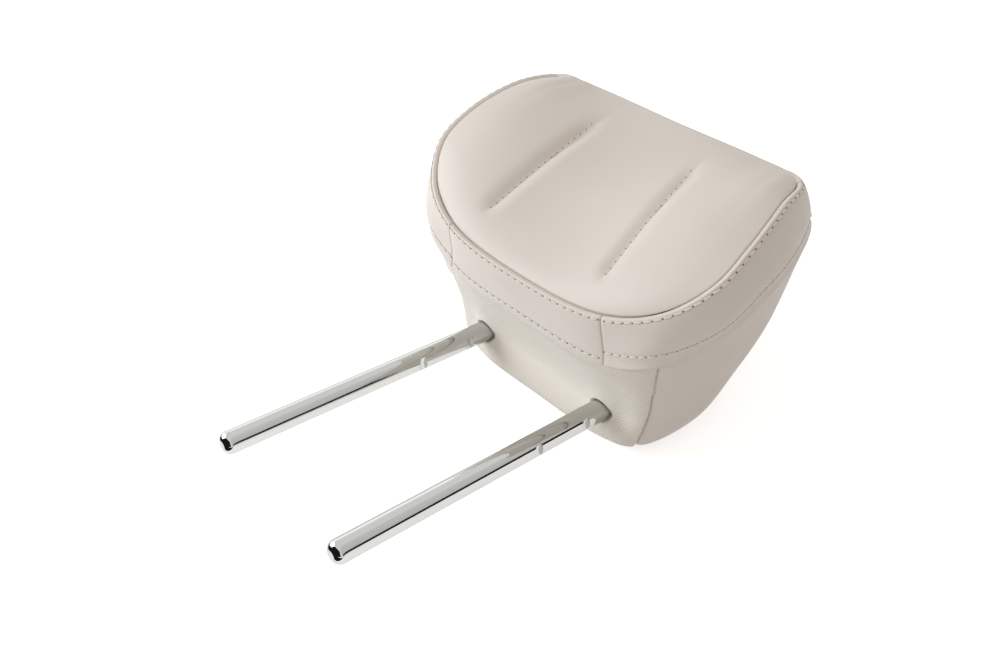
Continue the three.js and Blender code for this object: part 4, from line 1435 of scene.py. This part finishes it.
@dataclass
class RibbedCloth:
    """One piece of the ribbed stretch fabric, cut from the cushion's side."""

    name: str
    places: tuple[float, float]
    width: float
    depth: float
    under: float = 0.0
    over: float = 0.0
    under_reach: float = 6.0
    pitch: float = 1.35
    rib_height: float = 0.28
    lean: float = 30.5
    column_step: float = 0.38
    row_step: float = 0.66
    roll: float = 1.8
    pillow: float = 0.25

    def build(self, funnel: "PostFunnel", finishes: Finishes) -> bpy.types.Object:
        """Makes the cloth with its ribs, drawn in by the posts.

        Args:
            funnel: How the posts draw it in.
            finishes: The headrest's finishes.

        Returns:
            The cloth's object.
        """
        across = spaced(self.width, self.column_step)
        down = spaced(self.depth, self.row_step)
        knots = CORNER_KNOT * (2 * across - 1)
        along = self.places[0] + (self.places[1] - self.places[0]) * down
        surface = Surface(CUSHION.sides(knots, along), -1)
        run, drop = surface.lengths(0), surface.lengths(1)
        run = run - run[len(across) // 2]
        start, end = surface.from_ends(1)
        step = self.over * np.exp(-end / self.under_reach) - self.under * np.exp(-start / self.under_reach)
        surface.raised(step - funnel.depth_at(surface.points))
        surface.refresh()
        lean = math.radians(self.lean)
        phase = (run * math.cos(lean) + drop * math.sin(lean)) * 2 * math.pi / self.pitch
        smooth = surface.normals
        rib = np.cos(phase) / 2
        surface.raised(self.rib_height * rib)
        surface.normals = smooth
        # The rib share also drives the fabric's painted shade in the rib valleys.
        cloth = Panel(self.name, surface, "stretch_fabric", roll=self.roll, pillow=self.pillow, rib=rib + 0.5)
        piece = cloth.build()
        piece.data.materials.append(finishes.fabric)
        return piece


@dataclass(frozen=True)
class PostFunnel:
    """How the fabric is drawn in where the posts go through it."""

    post_x: float = 53.1
    post_radius: float = 7.0
    close: tuple[float, float] = (3.6, 1.2)
    wide: tuple[float, float] = (-4.4, 7.0)
    trough: float = 0.45
    trough_ends: tuple[float, float] = (62.0, 84.0)
    trough_rise: float = -1.0
    trough_width: float = 5.0
    fold: float = 0.9
    fold_reach: float = 9.0

    def depth_at(self, points: np.ndarray) -> np.ndarray:
        """How far in the fabric is.

        Args:
            points: Points of the fabric before it is drawn in.

        Returns:
            The depth at each, in millimetres.
        """
        lean = math.radians(LYING.post_lean)
        x = np.abs(points[..., 0]) - self.post_x
        across = points[..., 2] * math.cos(lean) + points[..., 1] * math.sin(lean)
        away = np.clip(np.hypot(x, across) - self.post_radius, 0, None)
        close = self.close[0] * np.exp(-((away / self.close[1]) ** 2))
        wide = self.wide[0] * np.exp(-away / self.wide[1])
        inside = 1 - smoothstep(np.abs(points[..., 0]), *self.trough_ends)
        line = np.exp(-(((points[..., 2] - self.trough_rise) / self.trough_width) ** 2))
        folds = self.fold * line * np.exp(-((np.clip(away, 0, None) / self.fold_reach) ** 2))
        return close + wide + self.trough * line * inside + folds


@dataclass
class FoamPad:
    """The foam moulded round the core, pressed in where the fabric is drawn in."""

    cell: float = 0.003
    slack: float = 3.2
    head: tuple[float, float] = (146.0, 99.0)
    head_press: float = 4.5
    head_reach: float = 13.0
    soft_depth: tuple[float, float] = (6.0, 22.0)

    def build(self, funnel: PostFunnel, finishes: Finishes) -> bpy.types.Object:
        """Makes the foam.

        Args:
            funnel: How the posts draw the fabric in.
            finishes: The headrest's finishes.

        Returns:
            The foam's object.
        """
        piece = in_scene("foam_pad", frame["nodes"]["foam_cushion"].data.copy())
        skin = piece.modifiers.new("skin", "REMESH")
        skin.mode = "VOXEL"
        skin.voxel_size = self.cell
        skin.use_smooth_shade = True
        mesh = bpy.data.meshes.new_from_object(piece.evaluated_get(bpy.context.evaluated_depsgraph_get()))
        piece.modifiers.clear()
        piece.data = mesh
        mesh.materials.clear()
        mesh.materials.append(finishes.foam)
        self.press(mesh, funnel)
        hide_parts("foam_cushion")
        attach(piece, Body.CUSHION.value)
        return piece

    def press(self, mesh: bpy.types.Mesh, funnel: PostFunnel) -> None:
        """Presses the foam in under the fabric.

        Args:
            mesh: The foam's mesh, which is changed.
            funnel: How the posts draw the fabric in.
        """
        flat, ways = np.empty(len(mesh.vertices) * 3), np.empty(len(mesh.vertices) * 3)
        mesh.vertices.foreach_get("co", flat)
        mesh.vertex_normals.foreach_get("vector", ways)
        points = LYING.home((flat - ways * self.slack * MILLIMETRE).reshape(-1, 3))
        depth = np.maximum(funnel.depth_at(points), 0) * (1 - smoothstep(points[:, 1], *self.soft_depth))
        points[:, 1] += depth
        away = np.hypot(points[:, 1] - self.head[0], points[:, 2] - self.head[1])
        pressed = self.head_press * np.exp(-((away / self.head_reach) ** 2))
        points[:, 1:] -= pressed[:, None] * math.sqrt(0.5)
        mesh.vertices.foreach_set("co", LYING.place(points).ravel())
        mesh.update()


@dataclass
class StretchPanel:
    """The ribbed fabric under the cushion, stretched tight round the posts."""

    fill: float = 0.95
    side_ramp: tuple[float, float] = (80.0, 61.8)
    front_ramp: tuple[float, float] = (33.0, 9.5)
    rear_ramp: tuple[float, float] = (-27.0, -8.8)
    cut_tolerance: float = 1e-7
    flap: RibbedCloth = field(default_factory=lambda: RibbedCloth(
        "bottom_flap_fabric", (Place.BAND_EDGE.value, Place.FLAP_LINE.value), 205.0, 16.0, over=1.4))
    panel: RibbedCloth = field(default_factory=lambda: RibbedCloth(
        "stretch_fabric_panel", (Place.FLAP_LINE.value, Place.BACK_SEAM.value), 195.0, 95.0, under=1.2))

    def build(self, finishes: Finishes) -> list[bpy.types.Object]:
        """Makes the foam, the flap strip and the panel, cut into four sectors.

        Args:
            finishes: The headrest's finishes.

        Returns:
            The pieces.
        """
        funnel = PostFunnel()
        foam = FoamPad().build(funnel, finishes)
        flap = self.flap.build(funnel, finishes)
        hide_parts("bottom_flap")
        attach(flap, Body.CUSHION.value)
        pieces = [foam, flap, *self.sectors(self.panel.build(funnel, finishes))]
        return pieces

    def ramps(self) -> list[tuple[str, np.ndarray, np.ndarray]]:
        """Where each sector's ramp starts and ends, which sets the cuts between the sectors.

        Returns:
            Each sector's name and its two places.
        """
        mid = (self.front_ramp[1] + self.rear_ramp[1]) / 2
        lines = {
            "right": ((self.side_ramp[0], 0, mid), (self.side_ramp[1], 0, mid)),
            "left": ((-self.side_ramp[0], 0, mid), (-self.side_ramp[1], 0, mid)),
            "front": ((0, 0, self.front_ramp[0]), (0, 0, self.front_ramp[1])),
            "rear": ((0, 0, self.rear_ramp[0]), (0, 0, self.rear_ramp[1])),
        }
        return [(name, LYING.place(np.array(start, float)), LYING.place(np.array(end, float)))
                for name, (start, end) in lines.items()]

    def sectors(self, whole: bpy.types.Object) -> list[bpy.types.Object]:
        """Cuts the panel on its mitres into its four sectors.

        Args:
            whole: The panel in one piece, which is removed.

        Returns:
            The four sectors.
        """
        ramps = self.ramps()
        pieces = []
        for name, start, end in ramps:
            mesh = whole.data.copy()
            body = bmesh.new()
            body.from_mesh(mesh)
            for other, begin, stop in ramps:
                if other != name:
                    self.keep_side(body, (start, end), (begin, stop))
            body.to_mesh(mesh)
            body.free()
            piece = in_scene(f"stretch_fabric_{name}", mesh)
            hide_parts("bottom_stretch_panel")
            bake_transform(piece)
            pieces.append(piece)
        bpy.data.objects.remove(whole)
        return pieces

    def keep_side(self, body: bmesh.types.BMesh, own: tuple, other: tuple) -> None:
        """Cuts away what lies further along one sector's own ramp than along the other sector's.

        Args:
            body: The sector's mesh.
            own: Where its own ramp starts and ends.
            other: Where the other sector's ramp starts and ends.
        """
        def slope(line: tuple) -> tuple[np.ndarray, float]:
            """The ramp as a sum.

            Args:
                line: Where the ramp starts and ends.

            Returns:
                Its direction and its constant.
            """
            run = line[1] - line[0]
            gain = run / (run @ run)
            return gain, -float(gain @ line[0])

        own_gain, own_base = slope(own)
        other_gain, other_base = slope(other)
        normal = own_gain - other_gain
        base = own_base - other_base
        length = float(np.linalg.norm(normal))
        spot = -normal * base / length**2
        bmesh.ops.bisect_plane(body, geom=[*body.verts, *body.edges, *body.faces], dist=self.cut_tolerance,
                               plane_co=Vector(spot), plane_no=Vector(normal / length), clear_outer=True)


@dataclass
class Posts:
    """The chromed post tube: two legs, the bends and the cross bar inside the cushion."""

    radius: float = 7.0
    spacing: float = 106.2
    length: float = 200.0
    bend: float = 22.0
    tip: float = 4.8
    tip_flat: float = 0.32
    notch_places: tuple[float, ...] = (21.0, 60.0)
    notch_depth: float = 1.8
    notch_length: float = 4.0
    notch_slope: float = 3.0
    around: int = 96
    ring_step: float = 3.0
    ring_gap: float = 2.0
    bend_gap: float = 0.5
    notch_step: float = 0.2
    notch_reach: tuple[float, float] = (8.0, 4.0)
    tip_rings: int = 13
    bend_rings: int = 19
    bar_rings: int = 12
    sharp_angle: float = 32.0

    def stations(self) -> tuple[np.ndarray, np.ndarray, np.ndarray]:
        """The middle line of the right half.

        Returns:
            Places, directions and radii.
        """
        leg = self.spacing / 2
        reach = LYING.pivot_rise + self.length
        tip = [(share, self.tip_flat + (1 - self.tip_flat) * math.sin(math.acos(1 - share)))
               for share in np.linspace(0, 1, self.tip_rings) ** 2]
        heights = [-reach + share * self.tip for share, _ in tip]
        radii = [self.radius * wide for _, wide in tip]
        for height in np.arange(-reach + self.tip + self.ring_gap, -self.bend - self.bend_gap,
                                     self.ring_step):
            heights.append(float(height))
            radii.append(self.radius)
        for place in self.notch_places:
            middle = -LYING.pivot_rise - place
            for height in np.arange(middle - self.notch_reach[0], middle + self.notch_reach[1],
                                      self.notch_step):
                heights.append(float(height))
                radii.append(self.radius)
        order = np.argsort(heights)
        places = [(leg, heights[k], 0.0) for k in order]
        widths = [radii[k] for k in order]
        runs = [(0.0, 1.0, 0.0)] * len(places)
        for turn in np.linspace(0, math.pi / 2, self.bend_rings):
            across, up = self.bend * (1 - math.cos(turn)), self.bend * math.sin(turn)
            places.append((leg - across, -self.bend + up, 0.0))
            runs.append((-math.sin(turn), math.cos(turn), 0.0))
            widths.append(self.radius)
        for x in np.linspace(leg - self.bend, 0, self.bar_rings)[1:-1]:
            places.append((float(x), 0.0, 0.0))
            runs.append((-1.0, 0.0, 0.0))
            widths.append(self.radius)
        return np.array(places), np.array(runs), np.array(widths)

    def notched(self, points: np.ndarray, leg: float) -> np.ndarray:
        """Cuts the ratchet notches into the points of one leg.

        Args:
            points: Points round the leg.
            leg: Where its middle is across.

        Returns:
            The points with the notches.
        """
        points = points.copy()
        for place in self.notch_places:
            top = -LYING.pivot_rise - place + self.notch_length / 2
            down = top - points[..., 1]
            floor = self.radius - self.notch_depth
            past = np.clip(down - self.notch_length, 0, None)
            slope = floor + past * (self.notch_depth + 1) / self.notch_slope
            limit = np.where(down < 0, self.radius, slope)
            points[..., 0] = np.minimum(points[..., 0], leg + np.minimum(limit, self.radius))
        return points

    def rings(self, places: np.ndarray, runs: np.ndarray, widths: np.ndarray) -> np.ndarray:
        """Rings of points round the tube.

        Args:
            places: The middle line.
            runs: The way it runs.
            widths: The radius at each place.

        Returns:
            A grid of points, places by turns.
        """
        turn = np.linspace(0, 2 * math.pi, self.around, endpoint=False)
        side = np.stack([runs[:, 1], -runs[:, 0], np.zeros(len(runs))], axis=1)
        spokes = side[:, None, :] * np.cos(turn)[None, :, None]
        spokes = spokes + np.array([0, 0, 1.0]) * np.sin(turn)[None, :, None]
        points = places[:, None, :] + spokes * widths[:, None, None]
        leg = math.copysign(self.spacing / 2, places[:, 0].sum())
        return np.where(points[..., 1:2] < -self.bend, self.notched(points, leg), points)

    def build(self, finishes: Finishes) -> bpy.types.Object:
        """Makes the tube.

        Args:
            finishes: The headrest's finishes.

        Returns:
            The tube's object.
        """
        places, runs, widths = self.stations()
        mirrored = places[::-1] * np.array([-1.0, 1.0, 1.0])
        back = runs[::-1] * np.array([1.0, -1.0, 1.0])
        rings = np.concatenate([self.rings(places, runs, widths), self.rings(mirrored, back, widths[::-1])])
        index = np.arange(rings.shape[0] * self.around).reshape(-1, self.around)
        following = np.roll(index, -1, axis=1)
        faces = np.stack([index[:-1], index[1:], following[1:], following[:-1]], axis=-1).reshape(-1, 4)
        caps = [tuple(index[0]), tuple(index[-1][::-1])]
        points = rings.reshape(-1, 3) + np.array([0, LYING.pivot_rise, 0])
        placed = LYING.place(LYING.along_posts(points))
        piece = make_mesh("post_tube_chrome", placed, [*faces, *caps], self.sharp_angle)
        piece.data.materials.append(finishes.chrome)
        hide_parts("post_tube")
        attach(piece, Body.POSTS.value)
        return piece


@dataclass
class Inside:
    """The core, clips, liners and closure strips, which keep their CAD shapes."""

    def dress(self, finishes: Finishes) -> None:
        """Gives each of these nodes its finish.

        Args:
            finishes: The headrest's finishes.
        """
        slots = {
            "spring_steel": finishes.steel, "core_plastic": finishes.core_plastic,
            "liner_plastic": finishes.liner_plastic,
        }
        for part in frame["record"]["subparts"]:
            finish = slots.get(part["material_slot"])
            if finish is None:
                continue
            node = frame["nodes"][part["node"]]
            node.data.materials.clear()
            node.data.materials.append(finish)
            LOG.info("%s keeps its shape", part["node"])


@dataclass
class Camera:
    """The camera at the photograph's viewing angle."""

    place: tuple[float, float, float] = (0.36799, -0.27863, 0.50831)
    turn: tuple[float, float, float] = (46.7983, 5.9642, 47.7572)
    lens: float = 37.777
    sensor: float = 36.0
    nearest: float = 0.01

    def build(self) -> None:
        """Makes the camera and looks through it."""
        data = bpy.data.cameras.new("camera")
        data.sensor_fit = "HORIZONTAL"
        data.sensor_width = self.sensor
        data.lens = self.lens
        data.clip_start = self.nearest
        camera = bpy.data.objects.new("camera", data)
        camera.location = self.place
        camera.rotation_euler = [math.radians(angle) for angle in self.turn]
        bpy.context.scene.collection.objects.link(camera)
        bpy.context.scene.camera = camera


@dataclass(frozen=True)
class Lamp:
    """A soft square lamp that looks at the headrest."""

    name: str
    place: tuple[float, float, float]
    size: float
    power: float
    colour: tuple[float, float, float] = (0.89, 0.945, 1.0)
    target: tuple[float, float, float] = (0.0, 0.06, 0.08)

    def build(self) -> None:
        """Makes the lamp."""
        data = bpy.data.lights.new(self.name, "AREA")
        data.shape = "SQUARE"
        data.size = self.size
        data.energy = self.power
        data.color = self.colour
        lamp = bpy.data.objects.new(self.name, data)
        lamp.location = self.place
        aim = Vector(self.target) - Vector(self.place)
        lamp.rotation_euler = aim.to_track_quat("-Z", "Y").to_euler()
        bpy.context.scene.collection.objects.link(lamp)


@dataclass(frozen=True)
class Flag:
    """A dark or bright card outside the picture, which only shows as a reflection in gloss."""

    name: str
    corners: tuple
    strength: float = 1.0
    fade: tuple[float, float] = (10.0, 11.0)
    shade: tuple = (0.015, 0.015, 0.015, 1.0)

    def build(self) -> None:
        """Makes the card, which fades out towards its top."""
        mesh = bpy.data.meshes.new(self.name)
        mesh.from_pydata(list(self.corners), [], [tuple(range(len(self.corners)))])
        card = bpy.data.objects.new(self.name, mesh)
        bpy.context.scene.collection.objects.link(card)
        nodes = Nodes(self.name)
        height = nodes.add("SeparateXYZ", Vector=nodes.add("TexCoord").outputs["Object"]).outputs["Z"]
        share = nodes.add("MapRange", Value=height, From_Min=self.fade[0], From_Max=self.fade[1],
                          To_Min=self.strength, To_Max=0.0).outputs["Result"]
        share = nodes.maths("MULTIPLY", share, nodes.add("LightPath").outputs["Is Glossy Ray"])
        mix = nodes.add("MixShader", Fac=share)
        dark = nodes.add("Emission", Color=self.shade)
        nodes.tree.links.new(nodes.add("BsdfTransparent").outputs[0], mix.inputs[1])
        nodes.tree.links.new(dark.outputs[0], mix.inputs[2])
        nodes.tree.links.new(mix.outputs[0], nodes.tree.nodes["Material Output"].inputs["Surface"])
        mesh.materials.append(nodes.material)


@dataclass
class Studio:
    """A white floor and soft light."""

    floor_reach: float = 3.0
    floor_colour: tuple = (0.82, 0.82, 0.82, 1.0)
    floor_glow: float = 0.62
    ambient: float = 0.61
    ambient_colour: tuple = (1.0, 0.944, 0.893, 1.0)
    lamps: tuple[Lamp, ...] = (
        Lamp("key", (-0.98, -0.66, 0.78), size=0.9, power=14.5),
    )
    flags: tuple[Flag, ...] = (
        Flag("horizon_flag", ((1.9, -0.6, 0.0), (0.6, 2.2, 0.0), (0.6, 2.2, 0.4), (1.9, -0.6, 0.4))),
        Flag("haze_flag", ((1.8, -0.6, 0.4), (0.5, 2.2, 0.4), (0.5, 2.2, 4.5), (1.8, -0.6, 4.5)),
             0.26, (0.4, 4.5)),
        Flag("front_flag", ((-1.8, -1.3, 0.002), (1.6, -1.3, 0.002), (1.6, -1.3, 2.0), (-1.8, -1.3, 2.0))),
        Flag("front_mat",
             ((-1.5, -0.26, 0.002), (-1.5, -1.3, 0.002), (0.4, -1.3, 0.002), (0.4, -0.26, 0.002))),
        Flag("left_glow", ((-2.2, -0.6, 0.3), (-2.2, 2.6, 0.3), (-2.2, 2.6, 1.8), (-2.2, -0.6, 1.8)),
             0.9, (0.9, 1.8), (1.7, 1.7, 1.7, 1.0)),
    )

    def build(self) -> None:
        """Makes the floor, the lamps, the cards and the world."""
        self.floor()
        self.world()
        for fitting in (*self.lamps, *self.flags):
            fitting.build()

    def seen(self, tree: bpy.types.NodeTree) -> bpy.types.NodeSocket:
        """Whether a ray comes from the camera, a gloss or a transmission.

        Args:
            tree: The node tree that asks.

        Returns:
            A socket that is 1 for such rays.
        """
        path = tree.nodes.new("ShaderNodeLightPath")
        total = path.outputs["Is Camera Ray"]
        for name in ("Is Glossy Ray", "Is Transmission Ray"):
            node = tree.nodes.new("ShaderNodeMath")
            node.operation = "MAXIMUM"
            tree.links.new(total, node.inputs[0])
            tree.links.new(path.outputs[name], node.inputs[1])
            total = node.outputs[0]
        return total

    def floor(self) -> None:
        """Makes the floor, which shows white and keeps the shadow."""
        r = self.floor_reach
        mesh = bpy.data.meshes.new("floor")
        mesh.from_pydata([(-r, -r, 0), (r, -r, 0), (r, r, 0), (-r, r, 0)], [], [(0, 1, 2, 3)])
        floor = bpy.data.objects.new("floor", mesh)
        bpy.context.scene.collection.objects.link(floor)
        nodes = Nodes("floor")
        tree = nodes.tree
        diffuse = nodes.add("BsdfDiffuse", Color=self.floor_colour)
        strength = nodes.maths("MULTIPLY", self.seen(tree), self.floor_glow)
        glow = nodes.add("Emission", Strength=strength)
        both = nodes.add("AddShader")
        tree.links.new(diffuse.outputs[0], both.inputs[0])
        tree.links.new(glow.outputs[0], both.inputs[1])
        tree.links.new(both.outputs[0], tree.nodes["Material Output"].inputs["Surface"])
        mesh.materials.append(nodes.material)

    def world(self) -> None:
        """Makes a world that shows white and lights softly."""
        world = bpy.data.worlds.new("studio")
        bpy.context.scene.world = world
        world.use_nodes = True
        tree = world.node_tree
        background = tree.nodes["Background"]
        seen = self.seen(tree)
        mix = tree.nodes.new("ShaderNodeMix")
        mix.data_type = "RGBA"
        tree.links.new(seen, mix.inputs["Factor"])
        mix.inputs[6].default_value = self.ambient_colour
        mix.inputs[7].default_value = (1.0, 1.0, 1.0, 1.0)
        tree.links.new(mix.outputs[2], background.inputs["Color"])
        spread = tree.nodes.new("ShaderNodeMapRange")
        tree.links.new(seen, spread.inputs["Value"])
        spread.inputs["To Min"].default_value = self.ambient
        tree.links.new(spread.outputs["Result"], background.inputs["Strength"])


@dataclass
class Headrest:
    """The whole headrest, built from its sub-assemblies."""

    band: tuple[float, float] = (Place.SEAM.value, Place.BAND_EDGE.value)
    side: tuple[float, float] = (Place.BAND_EDGE.value, Place.BACK_SEAM.value)
    fill: float = 0.95

    def side_panels(self) -> list[SidePanel]:
        """The band and the side panels, right, left and below.

        Returns:
            The panels.
        """
        joint, corner, upper = float(JOINT_KNOT), float(CORNER_KNOT), float(UPPER_CORNER_KNOT)
        return [
            SidePanel("band_leather_bottom", "band_bottom", (-joint, joint), self.band, 130, 46,
                      stitch_rows=(4.6, -5.0), ledge=1.2),
            SidePanel("band_leather_right", "band_right", (joint, upper), self.band, 190, 48,
                      stitch_rows=(4.8, -10.2), ledge=1.7, ledge_reach=3.6),
            SidePanel("band_leather_left", "band_left", (-upper, -joint), self.band, 190, 48,
                      stitch_rows=(4.8, -7.6), ledge=1.7, ledge_reach=3.6),
            SidePanel("side_leather_right", "side_panel_right", (corner, upper), self.side, 150, 110,
                      roll=1.9, pillow=1.7),
            SidePanel("side_leather_left", "side_panel_left", (-upper, -corner), self.side, 150, 110,
                      roll=1.9, pillow=1.7),
        ]

    def build(self) -> None:
        """Builds and dresses every piece."""
        finishes = Finishes()
        covers = [FaceLeather().build(finishes), BackLeather().build(finishes)]
        covers += [panel.build(finishes) for panel in self.side_panels()]
        for cover in covers:
            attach(cover, Body.CUSHION.value)
            LOG.info("%s: %d faces", cover.name, len(cover.data.polygons))
        for piece in StretchPanel().build(finishes):
            LOG.info("%s: %d faces", piece.name, len(piece.data.polygons))
        tube = Posts().build(finishes)
        LOG.info("%s: %d faces", tube.name, len(tube.data.polygons))
        Inside().dress(finishes)


def main() -> None:
    """Sets up the view and builds the headrest."""
    logging.basicConfig(level=logging.INFO, format="%(message)s")
    bpy.context.scene.view_settings.view_transform = "Standard"
    Camera().build()
    Studio().build()
    Headrest().build()


if __name__ == "__main__":
    main()
